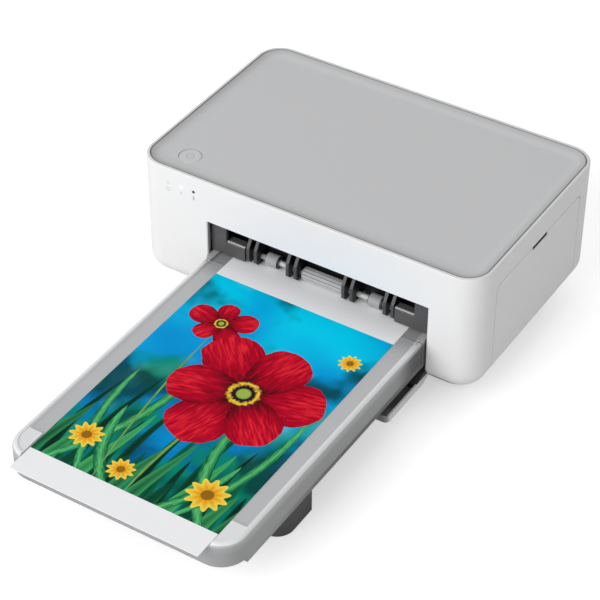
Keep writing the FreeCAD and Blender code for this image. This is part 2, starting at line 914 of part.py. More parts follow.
def make_gears():
    centres = train()
    idler_gear = involute_gear(centres["idler"], idler_teeth, 0, idler_post_radius + run_gap)
    reach = pitch_radius(idler_teeth) * lightening_share
    for i in range(lightening_holes):
        angle = 2 * math.pi * i / lightening_holes
        idler_gear = idler_gear.cut(rod_x(gear_x - gear_width, gear_x, centres["idler"][0]
                                          + reach * math.cos(angle), centres["idler"][1]
                                          + reach * math.sin(angle), lightening_radius))
    save("idler_gear", idler_gear)
    wheels = (("exit", exit_teeth, exit_shaft_radius), ("pickup", pickup_teeth, pickup_shaft_radius),
              ("capstan", capstan_teeth, capstan_journal), ("takeup", takeup_teeth, spool_axle))
    for name, teeth, bore in wheels:
        phase = mesh_phase(centres["idler"], idler_teeth, 0, centres[name], teeth)
        save(name + "_gear", involute_gear(centres[name], teeth, phase, bore))
    phase = mesh_phase(centres["idler"], idler_teeth, 0, centres["motor"], motor_teeth)
    pinion = involute_gear(centres["motor"], motor_teeth, phase, motor_shaft_radius)
    save("motor_pinion", pinion)
    y, z = centres["motor"]
    save("motor_shaft", rod_x(gear_plate_x - plate_thick - motor_bore_depth, gear_x, y, z,
                              motor_shaft_radius))


def bushed_places():
    """Loaded shafts, which run in bushes in the side plates: y, z and radius."""
    return ((capstan_y, capstan_z, capstan_journal), (platen_y, platen_z, platen_shaft_radius))


def window_block(x0, x1, gap):
    """Window of the right plate, through which the cartridge goes in and out, drawn in by a gap."""
    grow = case_radius + window_gap - gap
    block = even_slab(takeup_y - grow, supply_y + grow, spool_level - grow, spool_level + grow,
                      window_round, 0, x1 - x0)
    block.rotate(Vector(0, 0, 0), Vector(1, 1, 1), axes_turn)
    block.translate(Vector(x0, 0, 0))
    return block


def make_side_plates():
    y0, y1 = front_y + plate_front, back_y - wall - plate_rear
    for name, side in (("left_plate", -1), ("right_plate", 1)):
        inner = paper_x + side * plate_half
        x0, x1 = sorted((inner, inner + side * plate_thick))
        plate = box(x0, x1, y0, y1, base_deck, plate_top)
        tray_room = box(x0 - overrun, x1 + overrun, y0 - overrun, flap_y + flap_boss + fit_gap,
                        base_deck - overrun, tray_under)
        plate = plate.cut(tray_room)
        holes = [(y, z, bush_radius) for y, z, radius in bushed_places()]
        holes.append((exit_y, exit_z, exit_shaft_radius + run_gap))
        holes.append((pickup_y, pickup_z, pickup_shaft_radius + run_gap))
        holes.append((exit_y, idler_z, idler_shaft_radius + run_gap))
        holes.append((capstan_y, pinch_z, pinch_journal + run_gap))
        holes.append((arm_y, arm_pivot_level, arm_pivot_radius))
        if side < 0:
            holes += [(takeup_y, spool_level, case_boss_radius), (supply_y, spool_level, case_boss_radius)]
        for y, z, radius in holes:
            plate = plate.cut(rod_x(x0 - overrun, x1 + overrun, y, z, radius))
        if side > 0:
            plate = plate.cut(window_block(x0 - overrun, x1 + overrun, 0))
        save(name, plate)


def make_bushes():
    bushes = []
    for y, z, radius in bushed_places():
        for side in (-1, 1):
            inner = paper_x + side * plate_half
            x0, x1 = sorted((inner, inner + side * plate_thick))
            ring = rod_x(x0, x1, y, z, bush_radius)
            bushes.append(ring.cut(rod_x(x0, x1, y, z, radius + run_gap)))
    return Part.makeCompound(bushes)


def make_bridge():
    return box(paper_x - plate_half, paper_x + plate_half, front_y + bridge_front,
               back_y - wall - bridge_rear, bridge_level, bridge_level + bridge_thick)


def make_gear_plate():
    """Outer plate of the gear train with its posts and the idler's axle."""
    centres = train()
    idler = centres["idler"]
    x1 = gear_plate_x
    x0 = x1 - plate_thick
    y0, y1 = front_y + gear_plate_front, idler[0] + pitch_radius(idler_teeth) + gear_plate_margin
    z0, z1 = pickup_z - pitch_radius(pickup_teeth), plate_top
    plate = box(x0, x1, y0, y1, z0, z1)
    left_plate = paper_x - plate_half - plate_thick
    corners = ((y0 + post_radius, z1 - post_radius), (y1 - post_radius, z1 - post_radius),
               ((pickup_y + capstan_y) / 2, z0 + post_radius))
    posts = [rod_x(x1, left_plate, y, z, post_radius) for y, z in corners]
    posts.append(rod_x(x1, left_plate, idler[0], idler[1], idler_post_radius))
    hole = rod_x(x0 - overrun, x1 + overrun, centres["motor"][0], centres["motor"][1], motor_boss + fit_gap)
    return fuse([plate] + posts).cut(hole)


def make_motor():
    y, z = train()["motor"]
    x1 = gear_plate_x - plate_thick
    can = rod_x(x1 - motor_length, x1, y, z, motor_radius)
    can = can.fuse(rod_x(x1, x1 + motor_boss_length, y, z, motor_boss))
    return can.cut(rod_x(x1 - motor_bore_depth - fit_gap, x1 + overrun, y, z, motor_shaft_radius + run_gap))


def make_head():
    y0, y1 = platen_y - head_width / 2, platen_y + head_width / 2
    save("thermal_head", box(paper_x - head_half, paper_x + head_half, y0, y1, head_level,
                             head_level + head_thick))
    low = head_level + head_thick
    sink = box(paper_x - head_half, paper_x + head_half, platen_y - sink_width / 2, platen_y + sink_width / 2,
               low, low + sink_height)
    pitch = sink_width / (sink_grooves + 1)
    for i in range(sink_grooves):
        y = platen_y - sink_width / 2 + pitch * (i + 1)
        sink = sink.cut(box(paper_x - head_half - overrun, paper_x + head_half + overrun,
                            y - sink_groove_width / 2, y + sink_groove_width / 2,
                            low + sink_height - sink_groove_depth, low + sink_height + overrun))
    save("heat_sink", sink)
    arms = []
    reach = (arm_y - platen_y) * arm_reach_share
    for side in (-1, 1):
        inner = paper_x + side * arm_offset
        x0, x1 = sorted((inner, inner + side * arm_thick))
        arm = box(x0, x1, platen_y - head_width / 2, platen_y + reach, low, low + arm_height)
        tail = prism_x([(platen_y + reach - arm_height, low), (arm_y, arm_pivot_level - arm_height / 2),
                        (arm_y, arm_pivot_level + arm_height / 2), (platen_y + reach - arm_height,
                                                                    low + arm_height)], x0, x1)
        eye = rod_x(x0, x1, arm_y, arm_pivot_level, arm_height / 2)
        lug_ends = sorted((paper_x + side * head_half, inner + side * arm_thick))
        lug = box(lug_ends[0], lug_ends[1], platen_y - head_width / 2, platen_y + head_width / 2,
                  low, low + head_thick)
        arm = fuse([arm, tail, eye, lug])
        arms.append(arm.cut(rod_x(x0 - overrun, x1 + overrun, arm_y, arm_pivot_level,
                                  arm_pivot_radius + run_gap)))
    save("head_arm", Part.makeCompound(arms))
    save("arm_pivot", rod_x(paper_x - plate_half - plate_thick, paper_x + plate_half + plate_thick, arm_y,
                            arm_pivot_level, arm_pivot_radius))


def half_tube(y, z):
    """Cover of one spool, open towards the head below."""
    x0, x1 = paper_x - case_half, paper_x + case_half
    tube = rod_x(x0, x1, y, z, case_radius).cut(rod_x(x0, x1, y, z, case_radius - case_wall))
    depth = case_radius * math.cos(math.radians(case_open_angle / 2))
    return tube.cut(box(x0 - overrun, x1 + overrun, y - case_radius - overrun, y + case_radius + overrun,
                        z - case_radius - overrun, z - depth))


def make_cartridge():
    ends = []
    for side in (-1, 1):
        outer = paper_x + side * case_half
        x0, x1 = sorted((outer, outer - side * case_end))
        for y in (takeup_y, supply_y):
            ends.append(rod_x(x0, x1, y, spool_level, case_radius))
        ends.append(box(x0, x1, takeup_y, supply_y, spool_level, spool_level + case_radius - case_wall))
    for side in (-1, 1):
        reach = sorted((paper_x + side * (case_half - case_end), paper_x + side * (plate_half + plate_thick)))
        for y in (takeup_y, supply_y):
            ends.append(rod_x(reach[0], reach[1], y, spool_level, case_boss_radius))
    cap = paper_x + plate_half
    ends.append(window_block(cap, cap + plate_thick, fit_gap / 2))
    middle = (takeup_y + supply_y) / 2
    ends.append(box(cap + plate_thick / 2, cap + plate_thick + tab_reach, middle - tab_width / 2,
                    middle + tab_width / 2, spool_level - tab_height / 2, spool_level + tab_height / 2))
    case = fuse([half_tube(takeup_y, spool_level), half_tube(supply_y, spool_level)] + ends)
    for y in (takeup_y, supply_y):
        case = case.cut(rod_x(paper_x - plate_half - overrun, paper_x + case_half + overrun / 2, y,
                              spool_level, spool_axle + run_gap))
    save("cartridge_case", case)
    left = gear_x - gear_width
    for name, y, roll, start in (("takeup_spool", takeup_y, takeup_roll, left),
                                 ("supply_spool", supply_y, supply_roll, paper_x - case_half)):
        axle = rod_x(start, paper_x + case_half, y, spool_level, spool_axle)
        core = rod_x(paper_x - spool_half, paper_x + spool_half, y, spool_level, spool_core)
        winding = rod_x(paper_x - film_half, paper_x + film_half, y, spool_level, roll)
        winding = winding.cut(rod_x(paper_x - film_half, paper_x + film_half, y, spool_level, spool_core))
        save(name, axle.fuse(core).removeSplitter())
        save(name.replace("spool", "film_roll"), winding)


def make_film():
    """Ribbon web from one roll down to the print line and up to the other."""
    start = (takeup_y + takeup_roll + roll_gap, spool_level)
    low_left = (platen_y - film_span, film_level)
    low_right = (platen_y + film_span, film_level)
    end = (supply_y - supply_roll - roll_gap, spool_level)
    thick = film_thick
    outline = [start, low_left, low_right, end, (end[0] + thick, end[1]),
               (low_right[0] + thick, low_right[1] - thick), (low_left[0] - thick, low_left[1] - thick),
               (start[0] - thick, start[1])]
    return prism_x(outline, paper_x - film_half, paper_x + film_half)


def flap_recess(gap, reach, z0, z1):
    """Room in the flap's inner face, or what fills it when drawn in by a gap."""
    half = opening_width / 2 - flap_gap - flap_border - gap
    return box(paper_x - half, paper_x + half, flap_free_y() + flap_lip + gap, front_y - reach - gap,
               z0, z1)


def flap_free_y():
    """Free edge of the flap as it lies open: shut, it reaches the top of the opening."""
    return flap_y - (opening_top - flap_axis_level - flap_gap)


def make_flap():
    half = opening_width / 2 - flap_gap
    low = flap_axis_level - flap_skin
    top = low + flap_thick
    x0, x1 = paper_x - half, paper_x + half
    plate = rounded_slab(x0, x1, flap_free_y(), front_y + flap_gap, (flap_corner, flap_corner, 0, 0),
                         low, top)
    plate = plate.cut(flap_recess(0, flap_border, low + flap_floor, top + overrun))
    arms = []
    for side in (-1, 1):
        ends = sorted((paper_x + side * half, paper_x + side * (half - flap_arm)))
        outline = [(front_y - flap_lip, low), (front_y - flap_lip, top),
                   (flap_y, flap_axis_level + flap_knuckle), (flap_y, flap_axis_level - flap_knuckle),
                   (front_y, low)]
        arms.append(prism_x(outline, ends[0], ends[1]))
        arms.append(rod_x(ends[0], ends[1], flap_y, flap_axis_level, flap_knuckle))
    return fuse([plate] + arms)


def make_flap_liner():
    floor = flap_axis_level - flap_skin + flap_floor
    return flap_recess(sheet_gap, flap_lip, floor, floor + flap_liner_thick)


def make_flap_pins():
    pins = []
    half = opening_width / 2 - flap_gap
    for side in (-1, 1):
        ends = sorted((paper_x + side * half, paper_x + side * (opening_width / 2 + flap_pin_length)))
        pins.append(rod_x(ends[0], ends[1], flap_y, flap_axis_level, flap_pin_radius))
    return Part.makeCompound(pins)


def make_door():
    axis_x, axis_z = door_axis()
    outer = housing_form(0, body_top)
    skin = outer.cut(housing_form(wall, shelf_top - shelf_thick)).common(door_region(seam))
    knuckle = rod_y(mid_y - door_half + seam, mid_y + door_half - seam, axis_x, axis_z, wall / 2)
    grip = box(right_x - slot_depth, right_x + overrun, mid_y - slot_half, mid_y + slot_half,
               door_top - seam - slot_height, door_top + overrun)
    return fuse([skin, knuckle]).cut(grip)


def make_door_pins():
    axis_x, axis_z = door_axis()
    pins = []
    for side in (-1, 1):
        start = mid_y + side * (door_half - seam)
        ends = sorted((start, mid_y + side * (door_half + door_pin_length)))
        pins.append(rod_y(ends[0], ends[1], axis_x, axis_z, door_pin_radius))
    return Part.makeCompound(pins)


def places(inset_x, inset_y):
    """Four places inset from the sides of the plinth."""
    reach_x = right_x - plinth_inset_x - inset_x
    reach_y = body_depth / 2 - plinth_inset_y - inset_y
    return [(x, mid_y + y) for x in (-reach_x, reach_x) for y in (-reach_y, reach_y)]


def make_base():
    seat = body_under + wall
    plinth = plinth_slab(0, base_under, base_deck)
    hollow = plinth_slab(-base_wall, base_under + base_floor, base_deck + overrun)
    flange = plinth_slab(flange_width, seat, base_deck).cut(plinth_slab(-base_wall, seat, base_deck))
    inside = housing_form(wall, shelf_top)
    base = fuse([plinth.cut(hollow), flange.common(inside)])
    ribs = []
    for side in (-1, 1):
        inner = paper_x + side * plate_half
        x0, x1 = sorted((inner, inner + side * plate_thick))
        ribs.append(box(x0 - plate_thick / 2, x1 + plate_thick / 2, front_y + plinth_inset_y + base_wall / 2,
                        back_y - plinth_inset_y - base_wall / 2, base_under + base_floor, base_deck))
        x = paper_x + side * deck_offset
        ribs.append(box(x - deck_width / 2, x + deck_width / 2, front_y + plinth_inset_y,
                        front_y + plinth_inset_y + deck_length, base_under + base_floor,
                        tray_under - fit_gap))
    for x, y in places(screw_inset_x, screw_inset_y):
        ribs.append(rod_z(base_under + base_floor, base_under + base_floor + screw_length, x, y,
                          boss_radius))
    base = fuse([base] + ribs)
    for x, y in places(screw_inset_x, screw_inset_y):
        base = base.cut(rod_z(base_under - overrun, base_under + screw_head_height, x, y,
                              screw_head_radius + fit_gap))
        base = base.cut(rod_z(base_under, base_under + screw_head_height + screw_length, x, y,
                              screw_shank_radius))
    return base


def make_feet():
    feet = [rod_z(0, base_under, x, y, foot_radius)
            for x, y in places(foot_inset_x, foot_inset_y)]
    return Part.makeCompound(feet)


def make_screws():
    screws = []
    for x, y in places(screw_inset_x, screw_inset_y):
        head = rod_z(base_under + fit_gap, base_under + screw_head_height, x, y, screw_head_radius)
        shank = rod_z(base_under + screw_head_height, base_under + screw_length, x, y,
                      screw_shank_radius)
        screws.append(head.fuse(shank).removeSplitter())
    return Part.makeCompound(screws)


def tray_slab(inset, back, z0, z1):
    radius = tray_corner - inset
    return rounded_slab(paper_x - tray_half + inset, paper_x + tray_half - inset, tray_front_y + inset, back,
                        (radius, radius, 0, 0), z0, z1)


def tray_taper(inset_low, inset_high, back, z0, z1):
    """Slab of the tray's outline whose sides lean, from one inset at z0 to another at z1."""
    wires = [level_wire(tray_slab(inset, back, z, z + overrun), z)
             for inset, z in ((inset_low, z0), (inset_high, z1))]
    return Part.makeLoft(wires, True, True)


def tray_nose():
    """What the slant under the front edge and its round corners takes away."""
    top = tray_under + tray_flange_height
    back = tray_front_y + tray_corner
    corner = box(paper_x - tray_half - overrun, paper_x + tray_half + overrun, tray_front_y - overrun, back,
                 tray_under - overrun, top)
    low = tray_flange_inset + tray_nose_depth
    return corner.cut(tray_taper(low, tray_flange_inset, back + overrun, tray_under, top))


def cover_axis_ears():
    """Ears of the tray's deck that carry the cover's pins."""
    ears = []
    for side in (-1, 1):
        outer = paper_x + side * (tray_half - cover_wall - ear_gap)
        x0, x1 = sorted((outer, outer - side * ear_thick))
        y1 = deck_front_y
        y0 = cover_axis_y
        ear = box(x0, x1, y0, y1, cover_axis_level - ear_drop, cover_axis_level + ear_round)
        ear = ear.fuse(rod_x(x0, x1, y0, cover_axis_level, ear_round))
        ears.append(ear.removeSplitter())
    return ears


def make_tray_base():
    walls = tray_slab(tray_wall_inset, deck_back_y, tray_under, tray_shoulder)
    walls = walls.cut(tray_slab(tray_wall_inset + tray_wall, deck_back_y + overrun, tray_under + tray_floor,
                                tray_shoulder + overrun))
    flange = tray_slab(tray_flange_inset, deck_back_y, tray_under, tray_under + tray_flange_height)
    flange = flange.cut(tray_slab(tray_wall_inset + tray_wall, deck_back_y + overrun,
                                  tray_under + tray_floor, tray_shoulder + overrun))
    inner = tray_half - tray_wall_inset
    tail_floor = box(paper_x - inner, paper_x + inner, deck_back_y, tray_back_y, tray_under,
                     tray_under + tray_floor)
    pieces = [walls.cut(tray_nose()), flange.cut(tray_nose()), tail_floor]
    for side in (-1, 1):
        x0, x1 = sorted((paper_x + side * inner, paper_x + side * (inner - tray_wall)))
        pieces.append(box(x0, x1, deck_back_y, tray_back_y, tray_under, tail_wall_level))
    ramp = [(tray_back_y - (rear_ramp_level - tray_under), tray_under + tray_floor),
            (tray_back_y, rear_ramp_level), (tray_back_y, tray_under + tray_floor)]
    pieces.append(prism_x(ramp, paper_x - inner + tray_wall, paper_x + inner - tray_wall))
    deck = box(paper_x - tray_half, paper_x + tray_half, deck_front_y, deck_back_y, tray_under, rim_level)
    room = tray_half - tray_wall_inset - tray_wall
    deck = deck.cut(box(paper_x - room, paper_x + room, deck_front_y - overrun, deck_back_y + overrun,
                        tray_under + tray_floor, print_level - deck_plate))
    top = tray_half - rim_width
    deck = deck.cut(box(paper_x - top, paper_x + top, deck_front_y - overrun, deck_back_y + overrun,
                        print_level, rim_level + overrun))
    pieces.append(deck)
    fence_inner = paper_width / 2 + fence_gap
    for side in (-1, 1):
        x0, x1 = sorted((paper_x + side * fence_inner, paper_x + side * (fence_inner + fence_thick)))
        length = (deck_front_y - tray_front_y) * fence_length_share
        pieces.append(box(x0, x1, tray_back_y - fence_back - length, tray_back_y - fence_back, tray_under,
                          fence_level))
    rib_pitch = paper_width / (tray_ribs + 1)
    for i in range(tray_ribs):
        x = paper_x - paper_width / 2 + rib_pitch * (i + 1)
        pieces.append(box(x - tray_rib_thick / 2, x + tray_rib_thick / 2, tray_front_y + tray_corner,
                          front_y - lift_front - overrun, tray_under, paper_bed))
    base = fuse(pieces + cover_axis_ears())
    pin_half = tray_half - cover_wall
    pins = rod_x(paper_x - pin_half, paper_x + pin_half, cover_axis_y, cover_axis_level,
                 cover_pin_radius + run_gap)
    lift_pin_y = front_y - lift_front
    fence_outer = fence_inner + fence_thick
    pivot = rod_x(paper_x - fence_outer, paper_x + fence_outer, lift_pin_y, paper_bed - lift_pin_radius,
                  lift_pin_radius + run_gap)
    return cut(base, [pins, pivot])


def make_tray_cover():
    outer = tray_slab(0, cover_rear_y, cover_under, rim_level)
    soft = [e for e in level_edges(outer, rim_level) if e.BoundBox.YMin < cover_rear_y - run_gap]
    outer = outer.makeFillet(rim_outer_round, soft)
    under = tray_slab(cover_wall, cover_rear_y + overrun, cover_under - overrun, print_level - cover_floor)
    bed = tray_taper(rim_width, rim_width - rim_flare, cover_rear_y + overrun, print_level, rim_level)
    cover = cut(outer, [under, bed])
    guide = paper_width / 2 + notch_side_gap
    gussets = []
    for side in (-1, 1):
        x0, x1 = sorted((paper_x + side * guide, paper_x + side * (tray_half - rim_width / 2)))
        block = box(x0, x1, tray_front_y + rim_width / 2, tray_front_y + rim_width / 2 + gusset_length,
                    print_level - cover_floor / 2, gusset_level)
        gussets.append(block.common(tray_slab(rim_width / 2, cover_rear_y, cover_under, rim_level)))
    cover = fuse([cover] + gussets)
    cover = cover.cut(box(paper_x - guide, paper_x + guide, tray_front_y - overrun,
                          tray_front_y + rim_width + overrun, print_level, rim_level + overrun))
    corner = box(paper_x - tray_half - overrun, paper_x + tray_half + overrun, cover_axis_y,
                 cover_rear_y + overrun, cover_axis_level, rim_level + overrun)
    corner = corner.cut(rod_x(paper_x - tray_half - overrun * 2, paper_x + tray_half + overrun * 2,
                              cover_axis_y, cover_axis_level, rear_round))
    bed_half = tray_half - rim_width
    corner = corner.cut(box(paper_x - bed_half, paper_x + bed_half, cover_axis_y - overrun,
                            cover_rear_y + overrun * 2, cover_axis_level - overrun, print_level))
    cover = cover.cut(corner)
    slots = []
    pins = []
    for side in (-1, 1):
        wall_in = paper_x + side * (tray_half - cover_wall)
        slot_in = wall_in - side * (ear_thick + ear_gap * 2)
        x0, x1 = sorted((wall_in, slot_in))
        slots.append(box(x0, x1, cover_axis_y - ear_round - fit_gap, cover_rear_y + overrun,
                         cover_under - overrun, rim_level + overrun))
        pin_ends = sorted((paper_x + side * (tray_half - cover_wall / 2), slot_in))
        pins.append(rod_x(pin_ends[0], pin_ends[1], cover_axis_y, cover_axis_level, cover_pin_radius))
    return fuse([cut(cover, slots)] + pins)


def make_tray_foot():
    x0, x1 = paper_x - tray_foot_half, paper_x + tray_foot_half
    y0, y1 = front_y - tray_foot_front, front_y - tray_foot_back
    radii = (tray_foot_round, tray_foot_round, 0, 0)
    foot = rounded_slab(x0, x1, y0, y1, radii, 0, tray_under)
    inner = tuple(max(r - tray_foot_wall, 0) for r in radii)
    w = tray_foot_wall
    return foot.cut(rounded_slab(x0 + w, x1 - w, y0 + w, y1 - w, inner, w, tray_under + overrun))


def make_stack():
    y1 = front_y + stack_back
    return box(paper_x - paper_width / 2, paper_x + paper_width / 2, y1 - stack_length, y1, paper_bed,
               stack_top)


def make_lift_plate():
    y0, y1 = front_y - lift_front, front_y + lift_back
    plate = box(paper_x - lift_half, paper_x + lift_half, y0, y1, paper_bed - lift_thick, paper_bed)
    half = paper_width / 2 + fence_gap + fence_thick
    pin = rod_x(paper_x - half, paper_x + half, y0, paper_bed - lift_pin_radius, lift_pin_radius)
    return plate.fuse(pin).removeSplitter()


def make_prints():
    half = paper_width / 2
    save("print_sheet", box(paper_x - half, paper_x + half, front_y - print_reach, cover_rear_y - sheet_gap,
                            print_level, print_top))
    save("print_tail", box(paper_x - half, paper_x + half, cover_rear_y + sheet_gap,
                           front_y + print_length_inside, print_level, print_top))


def make_paper_guide():
    low, high = guide_plate_low, guide_plate_low + guide_plate_thick
    plate = box(paper_x - plate_half, paper_x + plate_half, front_y + guide_front,
                back_y - wall - guide_back_gap, low, high)
    half = pinch_half + guide_window_gap
    reach = pinch_radius + guide_window_gap
    plate = plate.cut(box(paper_x - half, paper_x + half, capstan_y - reach, capstan_y + reach,
                          low - overrun, high + overrun))
    half = platen_half + guide_window_gap
    reach = platen_radius + guide_window_gap
    return plate.cut(box(paper_x - half, paper_x + half, platen_y - reach, platen_y + reach, low - overrun,
                         high + overrun))


def make_boards():
    y = back_y - wall - board_back_gap
    middle = (board_left + board_right) / 2
    board = box(board_left, board_right, y, y + board_thick, base_deck, board_top)
    chips = []
    for i in range(chips_on_board):
        z = base_deck + chip_start + i * chip_pitch
        chips.append(box(middle - chip_size / 2, middle + chip_size / 2, y - chip_thick, y, z,
                         z + chip_size))
    save("main_board", fuse([board] + chips))
    front = y + board_thick
    block = box(inlet_x - inlet_width / 2, inlet_x + inlet_width / 2, front, back_y - wall,
                inlet_level - inlet_height / 2, inlet_level + inlet_height / 2)
    inlet = block.fuse(rod_y(back_y - wall, back_y, inlet_x, inlet_level, inlet_nose))
    inlet = inlet.cut(rod_y(back_y - inlet_bore_depth, back_y + overrun, inlet_x, inlet_level, inlet_bore))
    pin = rod_y(back_y - inlet_bore_depth - wall, back_y - wall / 2, inlet_x, inlet_level, inlet_pin)
    save("power_inlet", fuse([inlet, pin]))


save("housing", make_housing())
save("top_panel", make_panel())
save("power_button", make_button())
save("switch_board", make_switch())
save("indicator_lenses", make_lamps())
save("indicator_board", make_lamp_board())
save("bezel", make_bezel())
save("exit_guide", make_exit_guide())
save("exit_shaft", journal_rod(exit_y, exit_z, 0, exit_shaft_radius, 0, True))
save("exit_centre_roller", make_centre_roller())
save("exit_short_rollers", make_short_rollers())
save("exit_roller_hubs", make_short_hubs())
save("lower_idlers", make_idlers())
save("pickup_shaft", journal_rod(pickup_y, pickup_z, 0, pickup_shaft_radius, 0, True))
save("pickup_rollers", make_pickup_rollers())
save("capstan", journal_rod(capstan_y, capstan_z, capstan_radius, capstan_journal, platen_half, True))
save("pinch_roller", journal_rod(capstan_y, pinch_z, pinch_radius, pinch_journal, pinch_half, False))
save("platen_shaft", journal_rod(platen_y, platen_z, 0, platen_shaft_radius, 0, False))
save("platen_roller", make_platen_roller())
make_gears()
make_side_plates()
save("shaft_bushes", make_bushes())
save("bridge_plate", make_bridge())
save("gear_plate", make_gear_plate())
save("motor", make_motor())
make_head()
make_cartridge()
save("ribbon_film", make_film())
save("front_flap", make_flap())
save("flap_liner", make_flap_liner())
save("flap_pins", make_flap_pins())
save("ribbon_door", make_door())
save("door_pins", make_door_pins())
save("base_cover", make_base())
save("rubber_feet", make_feet())
save("base_screws", make_screws())
save("tray_base", make_tray_base())
save("tray_cover", make_tray_cover())
save("tray_foot", make_tray_foot())
save("paper_stack", make_stack())
save("lift_plate", make_lift_plate())
make_prints()
save("paper_guide", make_paper_guide())
make_boards()
for name, (y, z) in train().items():
    print("%s centre %.4f %.4f" % (name, y, z))
print("door axis %.4f %.4f" % door_axis())
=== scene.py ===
import math

import bmesh
import bpy
from mathutils import Matrix, Vector


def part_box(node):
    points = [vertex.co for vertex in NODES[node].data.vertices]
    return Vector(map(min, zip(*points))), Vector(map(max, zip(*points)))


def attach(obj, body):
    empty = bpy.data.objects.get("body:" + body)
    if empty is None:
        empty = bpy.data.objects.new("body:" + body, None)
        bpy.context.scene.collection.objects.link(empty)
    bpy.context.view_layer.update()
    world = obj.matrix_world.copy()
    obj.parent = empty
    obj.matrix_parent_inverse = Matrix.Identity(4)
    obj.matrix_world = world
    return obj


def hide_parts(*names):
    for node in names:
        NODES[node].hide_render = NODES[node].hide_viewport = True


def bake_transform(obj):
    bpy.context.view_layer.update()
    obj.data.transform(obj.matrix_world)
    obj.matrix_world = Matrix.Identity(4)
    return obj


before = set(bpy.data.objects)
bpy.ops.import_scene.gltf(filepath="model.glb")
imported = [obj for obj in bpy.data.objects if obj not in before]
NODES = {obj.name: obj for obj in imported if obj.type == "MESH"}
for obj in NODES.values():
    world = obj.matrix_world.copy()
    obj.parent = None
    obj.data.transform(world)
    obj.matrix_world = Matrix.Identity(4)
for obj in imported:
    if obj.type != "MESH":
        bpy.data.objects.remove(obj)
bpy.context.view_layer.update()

# Real sizes are written in millimetres and turned into metres by MM.
MM = 0.001


def middle(low, high):
    """Middle of a box, from its lowest and highest corners."""
    return [(a + b) / 2 for a, b in zip(low, high)]


# Places of the CAD that the pieces and materials go by
PAPER_LOW, PAPER_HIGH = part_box("print_sheet")
PAPER_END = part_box("print_tail")[1][1]
PAPER_WIDTH = PAPER_HIGH[0] - PAPER_LOW[0]
PAPER_X = middle(PAPER_LOW, PAPER_HIGH)[0]
TRAY_LEVEL = PAPER_LOW[2]
HOUSING_LOW, HOUSING_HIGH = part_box("housing")
FRONT_Y = HOUSING_LOW[1]
MID_Y = middle(HOUSING_LOW, HOUSING_HIGH)[1]
BUTTON_LOW, BUTTON_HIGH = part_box("power_button")

# Sizes of the CAD that no box gives: the indicator lamps, the door's finger slot, the panel's corners, the
# tray's nose, the flap's border and thickness, and the grooves round the centre roller that take painted
# shade
LAMP_X = (-78.0 * MM, -70.2 * MM, -62.7 * MM)
SLOT_HALF = 7.9 * MM
SLOT_HEIGHT = 1.9 * MM
PANEL_ROUND = 11.75 * MM
NOSE_DEPTH = 16.0 * MM
FLAP_BORDER = 0.9 * MM
FLAP_THICK = 4.0 * MM
GROOVES_SHADED = 12


class Wire:
    """A value in a shader graph, so that formulas can be written with plain operators."""

    def __init__(self, graph, socket):
        self.graph = graph
        self.socket = socket

    def math(self, operation, *others):
        """Result of a Math node on this value and the others."""
        node = self.graph.nodes.new("ShaderNodeMath")
        node.operation = operation
        for slot, value in zip(node.inputs, (self,) + others):
            self.graph.feed(slot, value)
        return Wire(self.graph, node.outputs[0])

    def __add__(self, other):
        return self.math("ADD", other)

    def __sub__(self, other):
        return self.math("SUBTRACT", other)

    def __rsub__(self, other):
        return self * -1.0 + other

    def __mul__(self, other):
        return self.math("MULTIPLY", other)

    def __truediv__(self, other):
        return self.math("DIVIDE", other)

    def __pow__(self, other):
        return self.math("POWER", other)

    def __abs__(self):
        return self.math("ABSOLUTE")

    def at_least(self, other):
        return self.math("MAXIMUM", other)

    def at_most(self, other):
        return self.math("MINIMUM", other)

    def step(self, low, high):
        """0 up to low, 1 from high on and smooth between them, or the reverse where high is the lesser."""
        node = self.graph.nodes.new("ShaderNodeMapRange")
        node.interpolation_type = "SMOOTHSTEP"
        self.graph.feed(node.inputs["Value"], self)
        node.inputs["From Min"].default_value = low
        node.inputs["From Max"].default_value = high
        return Wire(self.graph, node.outputs["Result"])

    def step_from(self, base, low, high):
        """A step whose two ends are given in millimetres from base."""
        return self.step(base + low * MM, base + high * MM)


